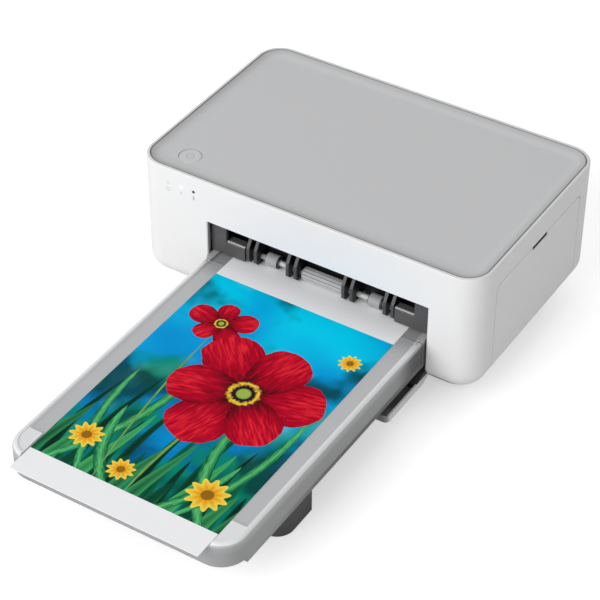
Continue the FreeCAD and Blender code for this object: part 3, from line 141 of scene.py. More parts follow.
class Graph:
    """A material with a Principled shader and short calls to add nodes to it."""

    def __init__(self, name):
        self.material = bpy.data.materials.new(name)
        self.material.use_nodes = True
        self.nodes = self.material.node_tree.nodes
        self.links = self.material.node_tree.links
        self.shader = self.nodes["Principled BSDF"]
        self.place = self.nodes.new("ShaderNodeTexCoord").outputs["Object"]

    def feed(self, slot, value):
        """Link a wire or socket to the slot, or set the slot to a constant."""
        if isinstance(value, Wire):
            value = value.socket
        if isinstance(value, bpy.types.NodeSocket):
            self.links.new(value, slot)
        else:
            slot.default_value = value

    def set(self, **values):
        """Feed the shader's inputs by name, with an underscore for each space."""
        for name, value in values.items():
            self.feed(self.shader.inputs[name.replace("_", " ")], value)

    def split(self, vector):
        """The three parts of a vector."""
        node = self.nodes.new("ShaderNodeSeparateXYZ")
        self.links.new(vector, node.inputs[0])
        return [Wire(self, out) for out in node.outputs]

    def axes(self):
        """Place on the object in metres, along X, Y and Z."""
        return self.split(self.place)

    def spans(self):
        """Place in the mesh's own box, 0 to 1 along X, Y and Z. A pose that bends the mesh changes it."""
        return self.split(self.nodes.new("ShaderNodeTexCoord").outputs["Generated"])

    def normals(self):
        """The way the surface faces, along X, Y and Z."""
        return self.split(self.nodes.new("ShaderNodeNewGeometry").outputs["Normal"])

    def vector(self, x, y, z=0.0):
        """Three values joined into one vector."""
        node = self.nodes.new("ShaderNodeCombineXYZ")
        for slot, value in zip(node.inputs, (x, y, z)):
            self.feed(slot, value)
        return node.outputs[0]

    def noise(self, scale, detail=2.0, roughness=0.5, stretch=(1, 1, 1), where=None):
        """Cloudy value of about 0 to 1, with scale waves in a metre or in a unit of where."""
        node = self.nodes.new("ShaderNodeTexNoise")
        node.inputs["Scale"].default_value = scale
        node.inputs["Detail"].default_value = detail
        node.inputs["Roughness"].default_value = roughness
        mapping = self.nodes.new("ShaderNodeMapping")
        mapping.inputs["Scale"].default_value = stretch
        self.feed(mapping.inputs["Vector"], where or self.place)
        self.links.new(mapping.outputs[0], node.inputs["Vector"])
        return Wire(self, node.outputs["Fac"])

    def mix(self, amount, low, high):
        """Colour from low to high as amount goes from 0 to 1."""
        node = self.nodes.new("ShaderNodeMix")
        node.data_type = "RGBA"
        self.feed(node.inputs[0], amount)
        for slot, value in ((node.inputs[6], low), (node.inputs[7], high)):
            if isinstance(value, tuple) and len(value) == 3:
                value = value + (1.0,)
            self.feed(slot, value)
        return node.outputs[2]

    def vary(self, amount, low, high):
        """Wire from low to high as amount goes from 0 to 1."""
        node = self.nodes.new("ShaderNodeMapRange")
        self.feed(node.inputs["Value"], amount)
        node.inputs["To Min"].default_value = low
        node.inputs["To Max"].default_value = high
        return Wire(self, node.outputs["Result"])

    def bands(self, level, lowest, steps):
        """Colour by level over the tray: steps are (from, to, colour above) in millimetres."""
        colour = lowest
        for low, high, above in steps:
            colour = self.mix(level.step_from(TRAY_LEVEL, low, high), colour, above)
        return colour

    def bump(self, height, depth):
        """Relief on the surface, as deep as depth where height goes from 0 to 1."""
        node = self.nodes.new("ShaderNodeBump")
        node.inputs["Distance"].default_value = depth
        self.feed(node.inputs["Height"], height)
        self.links.new(node.outputs[0], self.shader.inputs["Normal"])


def distance(dx, dy):
    """Length of the way that goes dx along and dy up."""
    return (dx * dx + dy * dy).math("SQRT")


def shade(colour, factor):
    """The colour made lighter or darker."""
    return tuple(min(channel * factor, 1.0) for channel in colour)


def grey(value, tint=(1.0, 1.0, 1.0)):
    """Grey of that brightness, with a slight tint where one is given."""
    return tuple(value * channel for channel in tint)


COOL = (0.99, 0.995, 1.01)
WHITE = grey(0.83)
PANEL = grey(0.585, COOL)
# RIM_GREY is lighter than the floor for a painted highlight on the tray's rim, TRAY_WALL darker for
# painted shade on its walls
RIM_GREY = grey(0.78, COOL)
TRAY_GREY = grey(0.49, COOL)
TRAY_WALL = grey(0.35, COOL)
TRAY_DARK = grey(0.13, COOL)
DECK_GREY = grey(0.29, COOL)
DECK_RIM = grey(0.4, COOL)
DARK = grey(0.072, (1.05, 0.98, 0.99))

# Noise scales in waves to the metre, grain sizes and depths, and how far roughness and colour stray
FLOW = 14.0
SHEEN = 90.0
DUST = 400.0
PLASTIC_GRAIN = 0.35 * MM
PLASTIC_DEPTH = 0.012 * MM
RUBBER_GRAIN = 0.3 * MM
RUBBER_DEPTH = 0.02 * MM
METAL_GRAIN = 0.25 * MM
METAL_DEPTH = 0.004 * MM
WORN_GRAIN = 0.3 * MM
WORN_DEPTH = 0.01 * MM
SHEEN_RANGE = 0.05
SHELL_SPREAD = 0.012


def flowed(g, colour, spread):
    """The plain colour with faint flow marks."""
    return g.mix(g.noise(FLOW, detail=3.0), shade(colour, 1 - spread), shade(colour, 1 + spread))


def clouded(g, colour):
    """A colour that varies already, with faint flow marks laid over it."""
    return g.mix(g.noise(FLOW, detail=3.0) * 0.03, colour, grey(1.0))


def grained(g, colour, roughness, grain=PLASTIC_GRAIN):
    """Finish of moulded plastic: the colour, an uneven sheen and fine spark-eroded grain."""
    g.set(Base_Color=colour)
    g.set(Roughness=g.vary(g.noise(SHEEN), roughness - SHEEN_RANGE, roughness + SHEEN_RANGE))
    g.bump(g.noise(1 / grain, roughness=0.6), PLASTIC_DEPTH)
    return g.material


def moulded(name, colour, roughness, grain=PLASTIC_GRAIN, spread=0.03):
    """Moulded plastic of one colour."""
    g = Graph(name)
    return grained(g, flowed(g, colour, spread), roughness, grain)


def metal(name, colour, roughness, along=(1, 1, 1)):
    """Metal with fine marks drawn out along one axis."""
    g = Graph(name)
    marks = g.noise(1 / METAL_GRAIN, detail=3.0, stretch=along)
    g.set(Base_Color=g.mix(g.noise(60.0), shade(colour, 0.93), shade(colour, 1.05)), Metallic=1.0)
    g.set(Roughness=g.vary(marks, roughness - 0.08, roughness + 0.08))
    g.bump(marks, METAL_DEPTH)
    return g.material


def rubber(name, colour, roughness):
    """Dull rubber with a little dust on it."""
    g = Graph(name)
    g.set(Base_Color=g.mix(g.noise(DUST, detail=4.0), shade(colour, 0.9), shade(colour, 1.08)))
    g.set(Roughness=g.vary(g.noise(150.0), roughness - 0.06, roughness + 0.06))
    g.bump(g.noise(1 / RUBBER_GRAIN, detail=3.0), RUBBER_DEPTH)
    return g.material


def paper(name, colour):
    """Uncoated paper with visible fibre."""
    g = Graph(name)
    fibre = g.noise(300.0, detail=4.0)
    g.set(Base_Color=g.mix(fibre, shade(colour, 0.985), shade(colour, 1.01)), Roughness=0.55)
    g.bump(fibre, 0.01 * MM)
    return g.material


def shell_material():
    """White shell, with painted shade that greys its rim's top and the front opening's inner walls."""
    g = Graph("white_shell")
    x, y, z = g.axes()
    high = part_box("bezel")[1]
    # Painted shade: grey on the inner walls of the front opening
    walls = abs(x - PAPER_X).step_from(high[0] - PAPER_X, 1.2, 1.0) * z.step_from(high[2], 1.2, 1.0)
    walls = walls * y.step_from(FRONT_Y, 0.5, 0.8) * y.step_from(MID_Y, 0.0, -1.0)
    # Painted shade: the top of the rim is a little greyer
    rim = z.step_from(HOUSING_HIGH[2], -0.5, -0.2)
    white = g.mix(rim, flowed(g, WHITE, SHELL_SPREAD), shade(WHITE, 0.88))
    return grained(g, g.mix(walls, white, grey(0.38)), 0.42)


def door_material():
    """White like the housing, with painted shade that makes the inside of the finger slot dark."""
    g = Graph("door_white")
    x, y, z = g.axes()
    low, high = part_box("ribbon_door")
    along = abs(y - middle(low, high)[1]).step_from(SLOT_HALF, 0.0, -0.1)
    # Painted shade: the inside of the finger slot is dark
    slot = x.step_from(high[0], -0.25, -0.45) * along
    slot = slot * z.step_from(high[2] - SLOT_HEIGHT, -0.2, -0.1)
    return grained(g, g.mix(slot, flowed(g, WHITE, SHELL_SPREAD), grey(0.02)), 0.42)


def panel_material():
    """Grey panel, with painted shade along the border of its dish and a darker painted line at its edge.
    """
    g = Graph("panel_grey")
    x, y, _ = g.axes()
    low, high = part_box("top_panel")
    mid_x, mid_y, _ = middle(low, high)
    beyond_x = abs(x - mid_x) - (high[0] - mid_x - PANEL_ROUND)
    beyond_y = abs(y - mid_y) - (high[1] - mid_y - PANEL_ROUND)
    corner = distance(beyond_x.at_least(0.0), beyond_y.at_least(0.0))
    reach = corner + beyond_x.at_least(beyond_y).at_most(0.0)
    flat = flowed(g, PANEL, SHELL_SPREAD)
    # Painted shade along the border of the dish
    colour = g.mix(reach.step_from(PANEL_ROUND, -5.0, -0.4), flat, shade(PANEL, 0.78))
    # Painted shade: a dark line at the panel's edge
    colour = g.mix(reach.step_from(PANEL_ROUND, -0.7, -0.4), colour, shade(PANEL, 0.42))
    return grained(g, colour, 0.45)


def bezel_material():
    """Dark moulding whose level ledges carry a painted highlight at the front and are dark behind."""
    g = Graph("bezel_dark")
    # Painted highlight: level faces are pale at the front of each ledge and dark further back
    ledge = g.normals()[2].step(0.5, 0.8)
    behind = g.axes()[1].step_from(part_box("bezel")[0][1], 1.8, 3.0)
    wear = g.noise(220.0, detail=3.0)
    walls = g.mix(wear, shade(DARK, 0.9), shade(DARK, 1.1))
    painted_highlight = g.mix(behind, g.mix(wear, grey(0.5), grey(0.6)), grey(0.09))
    return grained(g, g.mix(ledge, walls, painted_highlight), 0.38)


def guide_material():
    """Black moulding with painted highlights that make the fins' narrow front edges paler."""
    g = Graph("guide_black")
    axis = middle(*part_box("exit_centre_roller"))[1]
    # Painted highlight on the fins' narrow front edges
    edge = abs(g.normals()[0]).step(0.7, 0.3) * g.axes()[1].step_from(axis, -1.0, -2.5)
    wear = g.noise(260.0, detail=3.0)
    g.set(Base_Color=g.mix(edge, grey(0.014), g.mix(wear, grey(0.045), grey(0.09))))
    g.set(Roughness=g.vary(wear, 0.25, 0.36), Specular_IOR_Level=0.25)
    g.bump(g.noise(1 / WORN_GRAIN), WORN_DEPTH)
    return g.material


def ribbed_material():
    """Grey rubber, with painted shade that darkens the grooves between the roller's ribs."""
    g = Graph("ribbed_rubber")
    low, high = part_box("exit_centre_roller")
    _, axis_y, axis_z = middle(low, high)
    _, y, z = g.axes()
    dy, dz = y - axis_y, z - axis_z
    groove_shade = distance(dy, dz).step_from(high[2] - axis_z, -0.04, -0.2)
    turn = math.radians(90 / GROOVES_SHADED)
    shaded_grooves = ((dz.math("ARCTAN2", dy) - turn) * GROOVES_SHADED).math("COSINE").step(0.6, 0.85)
    dusty = g.mix(g.noise(DUST, detail=4.0), grey(0.46), grey(0.54))
    # Painted shade: dark in the deeper part of the flutes and along every other groove
    g.set(Base_Color=g.mix(groove_shade * 0.15 + shaded_grooves * 0.65, dusty, grey(0.06)), Roughness=0.6)
    g.bump(g.noise(1 / RUBBER_GRAIN, detail=3.0), RUBBER_DEPTH)
    return g.material


def lens_material():
    """Three light guides: the first is pale, the second is lit and the third is dark."""
    g = Graph("lens_clear")
    across = g.axes()[0]
    lit, dark = [across.step_from(x, 3.0, 4.0) for x in LAMP_X[:2]]
    colour = g.mix(lit, g.mix(g.noise(900.0), grey(0.74), grey(0.78)), (0.35, 0.55, 0.95))
    g.set(Base_Color=g.mix(dark, colour, grey(0.04)), Roughness=0.2)
    g.set(Emission_Color=(0.7, 0.85, 1.0, 1.0), Emission_Strength=lit * (1.0 - dark) * 0.9)
    return g.material


def cover_material():
    """Tray cover: grey floor, painted highlight on the rim, painted shade on wall and nose, painted shadow
    by the housing.
    """
    g = Graph("cover_grey")
    _, y, z = g.axes()
    near, rear = PAPER_LOW[1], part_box("tray_cover")[1][1]
    # Painted shade on the nose
    nose = y.step_from(near, 30, 6) * z.step_from(TRAY_LEVEL, 0.0, -1.0)
    # Painted highlight that makes the rim light, and painted shade that makes the wall darker than the
    # floor
    painted_light_bands = g.bands(z, TRAY_WALL, ((-5.0, -0.4, TRAY_GREY), (0.02, 0.3, RIM_GREY)))
    colour = g.mix(nose * 0.6, painted_light_bands, shade(TRAY_WALL, 0.8))
    # Painted shadow of the housing on the rear of the wall
    shadowed_wall = z.step_from(TRAY_LEVEL, -0.4, -1.6)
    colour = g.mix(shadowed_wall * y.step_from(rear, -26, -4) * 0.95, colour, grey(0.015))
    # Painted shadow on everything near the housing
    colour = g.mix(y.step_from(rear, -14, -1) * 0.3, colour, grey(0.12))
    return grained(g, clouded(g, colour), 0.4)


def base_material():
    """Tray base: its rim strip is grey by the front corners and dark from there to the back."""
    g = Graph("tray_dark")
    _, y, z = g.axes()
    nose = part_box("tray_base")[0][1] + NOSE_DEPTH
    strip = g.mix(y.step_from(nose, 0, 80), TRAY_WALL, TRAY_DARK)
    colour = g.bands(z, strip, ((-1.6, -1.4, DECK_GREY), (0.1, 0.3, DECK_RIM)))
    return grained(g, clouded(g, colour), 0.45)


def flap_material():
    """Flap: pale outside, dark lip and recess on its inner face when shut, with painted shade further in.
    """
    g = Graph("flap_grey")
    x, y, z = g.axes()
    low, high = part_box("front_flap")
    recess = abs(x - PAPER_X).step_from(high[0] - PAPER_X - FLAP_BORDER, 0.0, -0.1)
    recess = recess * z.step_from(low[2], 0.4, 0.6) * y.step_from(low[1], 0.5, 0.6)
    inside = recess.at_least(z.step_from(low[2] + FLAP_THICK, 0.1, 0.3))
    # The lip and recess are dark, and painted shade makes them darker further in
    dark = g.mix(y.step_from(low[1], 6.5, 7.5), grey(0.14), grey(0.035))
    pale = g.mix(y.step_from(low[1], 2.4, 0.6), grey(0.78, COOL), grey(0.34, COOL))
    return grained(g, clouded(g, g.mix(inside, pale, dark)), 0.4)


def paint(material, *names):
    """Put a material on CAD nodes."""
    for name in names:
        mesh = NODES[name].data
        mesh.materials.clear()
        mesh.materials.append(material)


def dress_nodes():
    """Dress every CAD node, apart from the print's two, which photo_sheet replaces."""
    paint(shell_material(), "housing")
    paint(door_material(), "ribbon_door")
    paint(panel_material(), "top_panel")
    paint(moulded("button_grey", shade(PANEL, 1.04), 0.38, spread=0.01), "power_button")
    paint(lens_material(), "indicator_lenses")
    paint(cover_material(), "tray_cover")
    paint(base_material(), "tray_base")
    paint(moulded("foot_dark", grey(0.085, COOL), 0.55), "tray_foot")
    paint(flap_material(), "front_flap")
    paint(moulded("liner_dark", grey(0.15), 0.5), "flap_liner")
    paint(bezel_material(), "bezel")
    paint(guide_material(), "exit_guide")
    paint(moulded("hub_black", grey(0.025), 0.3), "exit_roller_hubs")
    paint(ribbed_material(), "exit_centre_roller")
    paint(rubber("roller_grey", grey(0.36), 0.6), "exit_short_rollers", "pickup_rollers")
    paint(moulded("shaft_light", grey(0.5), 0.16), "exit_shaft")
    paint(moulded("base_dark", grey(0.1, COOL), 0.6), "base_cover")
    paint(rubber("foot_rubber", grey(0.035), 0.75), "rubber_feet")
    paint(moulded("inlet_black", grey(0.025), 0.4), "power_inlet")
    paint(moulded("inner_black", grey(0.045), 0.45), "paper_guide", "cartridge_case")
    paint(rubber("platen_black", grey(0.06), 0.65), "platen_roller")
    paint(metal("zinc_steel", (0.62, 0.63, 0.65), 0.35, along=(1, 0.05, 1)), "left_plate", "right_plate",
          "bridge_plate", "gear_plate", "lift_plate", "head_arm", "base_screws", "motor")
    paint(metal("ground_steel", (0.7, 0.71, 0.72), 0.22), "arm_pivot", "pickup_shaft", "capstan",
          "pinch_roller", "platen_shaft", "motor_shaft", "flap_pins", "door_pins", "lower_idlers")
    paint(metal("bronze", (0.72, 0.5, 0.25), 0.4), "shaft_bushes", "motor_pinion")
    paint(metal("alloy", (0.72, 0.73, 0.75), 0.42, along=(0.04, 1, 1)), "heat_sink")
    paint(moulded("gear_acetal", (0.74, 0.73, 0.68), 0.4), "idler_gear", "exit_gear", "pickup_gear",
          "capstan_gear", "takeup_gear", "takeup_spool", "supply_spool")
    paint(moulded("dye_film", (0.05, 0.03, 0.09), 0.18, grain=1.2 * MM), "ribbon_film",
          "takeup_film_roll", "supply_film_roll")
    paint(moulded("head_ceramic", (0.5, 0.36, 0.26), 0.3), "thermal_head")
    paint(moulded("board_green", (0.03, 0.17, 0.07), 0.35), "switch_board", "indicator_board",
          "main_board")
    paint(paper("blank_paper", grey(0.82)), "paper_stack")


def add_object(name, data):
    """New object in the scene."""
    piece = bpy.data.objects.new(name, data)
    bpy.context.scene.collection.objects.link(piece)
    return piece


def mesh_from(name, build):
    """Mesh made by a function that fills a bmesh."""
    bm = bmesh.new()
    build(bm)
    bmesh.ops.recalc_face_normals(bm, faces=bm.faces)
    mesh = bpy.data.meshes.new(name)
    bm.to_mesh(mesh)
    bm.free()
    return mesh


# The print: one sheet of photo paper with a made-up picture of flowers. A place in the picture is
# (across, up) from its near left corner. Places and sizes there are in widths of the picture.

PICTURE_NEAR = 15.6 * MM
PICTURE_LENGTH = 149.3 * MM
PICTURE_EDGE = 0.001

# Blades in the width, shift, height, half width in a blade's own cell, dark and light tone
FRINGES = (
    (15.0, 0.3, 0.62, 0.42, (0.0, 0.02, 0.012), (0.0, 0.14, 0.07)),
    (11.0, 2.1, 0.40, 0.40, (0.0, 0.06, 0.03), (0.07, 0.46, 0.14)),
)
# Start, end, sideways bend and half width
BLADES = (
    ((0.02, -0.1), (0.34, 0.92), -0.10, 0.030),
    ((0.30, -0.1), (0.10, 0.70), 0.06, 0.026),
    ((0.98, -0.1), (0.70, 0.66), 0.09, 0.034),
    ((0.72, -0.1), (0.95, 0.84), -0.08, 0.026),
    ((0.50, -0.1), (0.20, 0.46), 0.08, 0.032),
    ((0.60, -0.1), (0.86, 0.40), -0.05, 0.028),
)
STEMS = (
    ((0.52, -0.12), (0.62, 0.88), 0.05, 0.012),
    ((0.36, -0.12), (0.24, 1.16), 0.03, 0.009),
)
BLADE_TONES = (0.0, 0.12, 0.05), (0.12, 0.62, 0.2)
STEM_TONES = (0.05, 0.2, 0.04), (0.25, 0.5, 0.12)
# Centre, size, turn, number of petals, and a seed for their ruffles
FLOWERS = (
    ((0.235, 1.16), 0.17, 0.5, 5, 21.0),
    ((0.60, 0.80), 0.40, 0.25, 6, 3.0),
)
PETAL_TONES = (0.08, 0.0, 0.004), (0.5, 0.0, 0.02), (0.92, 0.025, 0.04)
# Centre and size
DAISIES = (
    ((0.16, 0.20), 0.085),
    ((0.83, 0.17), 0.105),
    ((0.42, 0.10), 0.07),
    ((0.90, 1.24), 0.06),
)


def backdrop(g, place):
    """Blue sky that pales upwards, with patches of green and thicket."""
    cloud = g.noise(2.2, detail=1.0, where=g.vector(*place))
    drift = g.noise(3.4, stretch=(1.0, 0.55, 1.0), where=g.vector(*place, 4.0))
    height = place[1] * 0.68
    tone = height * 0.55 + cloud * 0.75 - 0.1
    colour = g.mix(tone.step(0.2, 0.62), (0.0, 0.09, 0.3), (0.0, 0.32, 0.72))
    colour = g.mix(tone.step(0.55, 0.9), colour, (0.0, 0.66, 0.95))
    colour = g.mix(drift.step(0.58, 0.74), colour, (0.25, 0.85, 0.98))
    green = g.noise(2.9, where=g.vector(*place, 9.0)) - height * 0.35
    colour = g.mix(green.step(0.32, 0.5) * 0.85, colour, (0.0, 0.26, 0.12))
    thicket = g.noise(2.6, detail=3.0, where=g.vector(*place, 17.0))
    colour = g.mix(thicket.step(0.5, 0.66) * 0.9, colour, (0.0, 0.045, 0.045))
    spray = g.noise(7.5, detail=3.0, stretch=(1.0, 0.4, 1.0), where=g.vector(*place, 23.0))
    return g.mix(spray.step(0.6, 0.75) * 0.6, colour, (0.02, 0.42, 0.16))


def fringe(g, colour, place, count, shift, reach, width, dark, light):
    """Row of pointed blades that stand on the near edge and sway."""
    across, up = place
    sway = (up * 5.0 + shift).math("SINE") * 0.45
    spot = across * count + shift + sway
    cell = spot.math("FLOOR")
    side = abs(spot - cell - 0.5)
    height = ((cell * 2.4 + shift).math("SINE") * 0.4 + 0.8) * reach
    taper = (1.0 - up / height).at_least(0.0) ** 0.6
    mask = (taper * width - side).step(0.0, 0.06)
    tone = (cell * 3.7 + shift).math("SINE") * 0.25 + side * 0.9 + up * 0.5
    return g.mix(mask, colour, g.mix(tone.step(-0.1, 0.7), dark, light))


def leaf(g, colour, place, start, end, bend, width, tones, seed):
    """A blade that tapers at both ends and bends sideways."""
    length = math.dist(start, end)
    ux, uy = (end[0] - start[0]) / length, (end[1] - start[1]) / length
    dx, dy = place[0] - start[0], place[1] - start[1]
    along = (dx * ux + dy * uy) / length
    beside = dy * ux - dx * uy
    hump = along * (1.0 - along) * 4.0
    offset = beside - hump * bend
    edge = hump.at_least(0.0) ** 0.7 * width
    mask = (edge - abs(offset)).step(0.0, 0.006)
    inside = along.step(0.0, 0.01) * along.step(1.0, 0.99)
    rib = abs(offset / width)
    grain = g.noise(30.0, detail=3.0, where=g.vector(along * 0.6, offset * 6.0, seed))
    dark, light = tones
    tone = g.mix((rib * 0.5 + grain * 0.8).step(0.25, 0.85), light, dark)
    return g.mix(mask * inside, colour, tone)


def petal(g, place, centre, angle, length, width, seed):
    """Mask and inner light of one petal that grows from the flower's centre."""
    dx, dy = place[0] - centre[0], place[1] - centre[1]
    c, s = math.cos(angle), math.sin(angle)
    along = dx * c + dy * s
    beside = dy * c - dx * s
    ruffle = g.noise(9.0, detail=3.0, where=g.vector(*place, seed)) - 0.5
    shape = ((along - length * 0.52) / (length * 0.5)) ** 2.0
    flare = along / length * 0.55 + 0.5
    shape = shape + (beside / (flare * width)) ** 2.0 + ruffle * 0.5
    mask = (1.0 - shape).step(0.0, 0.05)
    streak = g.noise(26.0, detail=3.0, where=g.vector(along * 0.5 + seed, beside * 3.0, seed))
    light = along / length * 0.55 + streak * 0.75 - shape * 0.22
    return mask, light


def flower(g, colour, place, centre, size, turn, count, seed):
    """Red flower: every other petal lies over its neighbours, round a dark heart with a yellow ring."""
    deep, mid, bright = PETAL_TONES
    for i in [*range(0, count, 2), *range(1, count, 2)]:
        angle = turn + i * 2 * math.pi / count
        reach = size * (0.95 + 0.1 * math.sin(3 * i + seed))
        mask, light = petal(g, place, centre, angle, reach, reach * 0.46, seed + i * 3.7)
        tone = g.mix(light.step(0.22, 0.72), deep, mid)
        tone = g.mix(light.step(0.62, 0.92), tone, bright)
        colour = g.mix(mask, colour, tone)
    radius = distance(place[0] - centre[0], place[1] - centre[1])
    speck = g.noise(60.0, where=g.vector(*place, seed))
    dark = (radius + speck * size * 0.16).step(size * 0.34, size * 0.22)
    colour = g.mix(dark, colour, (0.02, 0.004, 0.02))
    ring = (abs(radius - size * 0.17) + speck * size * 0.1).step(size * 0.09, size * 0.05)
    colour = g.mix(ring, colour, (0.95, 0.62, 0.04))
    return g.mix(radius.step(size * 0.1, size * 0.07), colour, (0.35, 0.5, 0.08))


def daisy(g, colour, place, centre, size, turn):
    """Small yellow flower with eleven narrow petals."""
    dx, dy = place[0] - centre[0], place[1] - centre[1]
    radius = distance(dx, dy)
    wave = (dy.math("ARCTAN2", dx) * 11.0 + turn).math("COSINE")
    rim = wave * (size * 0.14) + size * 0.86
    tone = g.mix((radius / size + wave * -0.12).step(0.2, 1.0), (0.85, 0.35, 0.01), (1.0, 0.78, 0.09))
    colour = g.mix((rim - radius).step(0.0, 0.004), colour, tone)
    return g.mix(radius.step(size * 0.32, size * 0.26), colour, (0.32, 0.14, 0.01))


def picture(g, place):
    """The whole picture, painted from the back to the front."""
    colour = backdrop(g, place)
    for row in FRINGES:
        colour = fringe(g, colour, place, *row)
    for i, blade in enumerate(BLADES):
        colour = leaf(g, colour, place, *blade, BLADE_TONES, seed=i * 1.9)
    for i, stem in enumerate(STEMS):
        colour = leaf(g, colour, place, *stem, STEM_TONES, seed=31.0 + i * 2.0)
    for bloom in FLOWERS:
        colour = flower(g, colour, place, *bloom)
    for i, (centre, size) in enumerate(DAISIES):
        colour = daisy(g, colour, place, centre, size, i * 0.4)
    return colour


def print_material():
    """Photo paper: the picture, and white tear-off margins before and behind it."""
    g = Graph("photo_print")
    across, along, _ = g.spans()
    up = along * ((PAPER_END - PAPER_LOW[1]) / PAPER_WIDTH) - PICTURE_NEAR / PAPER_WIDTH
    colour = picture(g, (across, up))
    top = PICTURE_LENGTH / PAPER_WIDTH
    inside = up.step(-PICTURE_EDGE, PICTURE_EDGE) * up.step(top + PICTURE_EDGE, top - PICTURE_EDGE)
    white = g.mix(g.noise(40.0), grey(0.93, COOL), grey(0.95, COOL))
    g.set(Base_Color=g.mix(inside, white, colour), Roughness=0.4, Specular_IOR_Level=0.04)
    g.bump(g.noise(260.0), 0.004 * MM)
    return g.material


def sheet_mesh(bm, columns=24, rows=96):
    """Flat sheet over both pieces of the print, cut finely enough to bend at the cover's hinge."""
    grid = []
    for j in range(rows + 1):
        y = PAPER_LOW[1] + (PAPER_END - PAPER_LOW[1]) * j / rows
        across = [PAPER_LOW[0] + PAPER_WIDTH * i / columns for i in range(columns + 1)]
        grid.append([[bm.verts.new((x, y, z)) for z in (PAPER_LOW[2], PAPER_HIGH[2])] for x in across])
    for near, far in zip(grid, grid[1:]):
        for i in range(columns):
            corners = near[i], near[i + 1], far[i + 1], far[i]
            for side in (0, 1):
                bm.faces.new([corner[side] for corner in corners])
    border = grid[0] + [row[-1] for row in grid[1:]] + grid[-1][-2::-1] + [row[0] for row in grid[-2:0:-1]]
    for a, b in zip(border, border[1:] + border[:1]):
        bm.faces.new((a[0], b[0], b[1], a[1]))


def make_print():
    """The sheet, one mesh over both pieces of the print, which are hidden."""
    sheet = add_object("photo_sheet", mesh_from("photo_sheet", sheet_mesh))
    sheet.data.materials.append(print_material())
    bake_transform(sheet)
    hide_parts("print_sheet", "print_tail")


# Generic marks under the indicator lamps and on the power button, each a little proud of its face

MARK_DEPTH = 0.02 * MM
MARK_LEVEL = 72.4 * MM


def on_front(x, z, proud):
    """Point on the housing's front wall."""
    return (x, FRONT_Y - proud, z)


def on_button(x, y, proud):
    """Point on top of the power button."""
    return (x, y, BUTTON_HIGH[2] + proud)


def ring_mark(bm, centre, inner, outer, turn, span, to_point, sides=40):
    """Flat ring, or part of one."""
    profile = (inner, 0), (outer, 0), (outer, MARK_DEPTH), (inner, MARK_DEPTH)
    rows = []
    for i in range(sides + 1):
        angle = turn + span * i / sides
        c, s = math.cos(angle), math.sin(angle)
        rows.append([bm.verts.new(to_point(centre[0] + r * c, centre[1] + r * s, proud))
                     for r, proud in profile])
    for a, b in zip(rows, rows[1:]):
        for k in range(4):
            bm.faces.new((a[k - 1], a[k], b[k], b[k - 1]))
    if span < 2 * math.pi:
        bm.faces.new(rows[0])
        bm.faces.new(rows[-1])


def bar_mark(bm, centre, half_width, half_height, to_point):
    """Flat bar."""
    corners = (-1, -1), (1, -1), (1, 1), (-1, 1)
    low, high = [[bm.verts.new(to_point(centre[0] + a * half_width, centre[1] + b * half_height, proud))
                  for a, b in corners] for proud in (0, MARK_DEPTH)]
    bm.faces.new(low)
    bm.faces.new(high)
    for k in range(4):
        bm.faces.new((low[k - 1], low[k], high[k], high[k - 1]))


def ring_sign(bm):
    """Whole ring."""
    ring_mark(bm, (LAMP_X[0], MARK_LEVEL), 0.9 * MM, 1.15 * MM, 0, 2 * math.pi, on_front)


def arc_sign(bm):
    """Two arcs over a dot."""
    turn, span = math.radians(40), math.radians(100)
    for inner in (0.5, 1.05):
        ring_mark(bm, (LAMP_X[1], MARK_LEVEL - 0.3 * MM), inner * MM, (inner + 0.2) * MM, turn, span,
                  on_front, sides=12)
    bar_mark(bm, (LAMP_X[1], MARK_LEVEL - 0.55 * MM), 0.2 * MM, 0.2 * MM, on_front)


def bar_sign(bm):
    """Upright bar."""
    bar_mark(bm, (LAMP_X[2], MARK_LEVEL + 0.1 * MM), 0.4 * MM, 1.2 * MM, on_front)


def power_sign(bm):
    """Broken ring with a bar in its gap."""
    x, y, _ = middle(BUTTON_LOW, BUTTON_HIGH)
    ring_mark(bm, (x, y), 1.75 * MM, 2.1 * MM, math.radians(120), math.radians(300), on_button)
    bar_mark(bm, (x, y + 1.7 * MM), 0.18 * MM, 0.85 * MM, on_button)


def make_marks():
    """The marks, each attached to the body that it lies on."""
    ink = moulded("mark_grey", grey(0.5, COOL), 0.5, spread=0.02)
    blue = moulded("mark_blue", (0.42, 0.5, 0.66), 0.5, spread=0.02)
    dark = moulded("mark_dark", grey(0.4), 0.5, spread=0.02)
    for name, build, material, body, slot in (
            ("ring_mark", ring_sign, ink, "machine", "white_shell"),
            ("arc_mark", arc_sign, blue, "machine", "white_shell"),
            ("bar_mark", bar_sign, dark, "machine", "white_shell"),
            ("power_mark", power_sign, dark, "button", "button_cap")):
        mark = add_object(name, mesh_from(name, build))
        mark.data.materials.append(material)
        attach(mark, body)


# The stage. Lamps: name, place and side in metres, power in watts

LAMPS = (
    ("key", (-0.55, -1.95, 1.15), 1.7, 37.5),
    ("top", (-0.2, 0.5, 2.4), 1.8, 3.0),
)
LAMP_AIM = (0, 0, 0.04)
WORLD_LEVEL = 0.5
FLOOR_HALF = 6.0
FLOOR_GLOW = 0.5


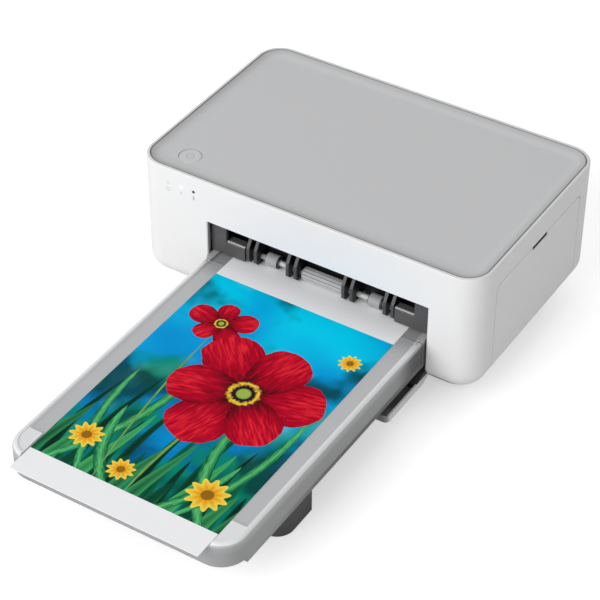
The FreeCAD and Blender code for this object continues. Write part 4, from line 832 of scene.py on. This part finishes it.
def make_camera():
    """Camera solved from the photograph: the straight edges of the housing, tray and print fit it."""
    focal_pixels, frame_pixels, sensor = 2095.15, 600, 36.0
    azimuth, elevation, roll = math.radians(32.16), math.radians(39.16), math.radians(0.22)
    distance_back, shift_right, shift_up = 1098.21 * MM, -33.70 * MM, -6.35 * MM
    level = Vector((math.cos(azimuth), math.sin(azimuth), 0))
    back = Vector((math.sin(azimuth) * math.cos(elevation), -math.cos(azimuth) * math.cos(elevation),
                   math.sin(elevation)))
    rise = back.cross(level)
    right = level * math.cos(roll) + rise * math.sin(roll)
    up = rise * math.cos(roll) - level * math.sin(roll)
    data = bpy.data.cameras.new("camera")
    data.sensor_width = sensor
    data.lens = focal_pixels / frame_pixels * sensor
    camera = add_object("camera", data)
    place = Vector((0, MID_Y, 0)) + back * distance_back + right * shift_right + up * shift_up
    turn = Matrix((right, up, back)).transposed().to_4x4()
    camera.matrix_world = Matrix.Translation(place) @ turn
    bpy.context.scene.camera = camera


def make_floor():
    """Pale floor, white to the camera where no shadow falls."""
    mesh = bpy.data.meshes.new("floor")
    corners = [(x * FLOOR_HALF, y * FLOOR_HALF, 0) for x, y in ((-1, -1), (1, -1), (1, 1), (-1, 1))]
    mesh.from_pydata(corners, [], [(0, 1, 2, 3)])
    floor = add_object("floor", mesh)
    g = Graph("floor")
    g.set(Base_Color=g.mix(g.noise(3.0), grey(0.84), grey(0.85)), Roughness=0.9, Specular_IOR_Level=0.1)
    seen = Wire(g, g.nodes.new("ShaderNodeLightPath").outputs["Is Camera Ray"])
    g.set(Emission_Color=(1, 1, 1, 1), Emission_Strength=seen * FLOOR_GLOW)
    mesh.materials.append(g.material)


def make_world():
    """World that lights the scene softly and is white to the camera and in reflections."""
    world = bpy.data.worlds.new("studio")
    world.use_nodes = True
    tree = world.node_tree
    shader = tree.nodes["Background"]
    path = tree.nodes.new("ShaderNodeLightPath")
    seen = tree.nodes.new("ShaderNodeMath")
    seen.operation = "MAXIMUM"
    tree.links.new(path.outputs["Is Camera Ray"], seen.inputs[0])
    tree.links.new(path.outputs["Is Glossy Ray"], seen.inputs[1])
    level = tree.nodes.new("ShaderNodeMapRange")
    level.inputs["To Min"].default_value = WORLD_LEVEL
    level.inputs["To Max"].default_value = 1.0
    tree.links.new(seen.outputs[0], level.inputs["Value"])
    tree.links.new(level.outputs[0], shader.inputs["Strength"])
    shader.inputs["Color"].default_value = (1, 1, 1, 1)
    bpy.context.scene.world = world


def make_lamps():
    """Large soft lamps that face the object."""
    for name, place, size, power in LAMPS:
        data = bpy.data.lights.new(name, "AREA")
        data.shape = "SQUARE"
        data.size = size
        data.energy = power
        lamp = add_object(name, data)
        lamp.location = place
        aim = Vector(LAMP_AIM) - Vector(place)
        lamp.rotation_euler = aim.to_track_quat("-Z", "Y").to_euler()


dress_nodes()
make_print()
make_marks()
make_camera()
make_floor()
make_world()
make_lamps()
bpy.context.scene.view_settings.view_transform = "Standard"
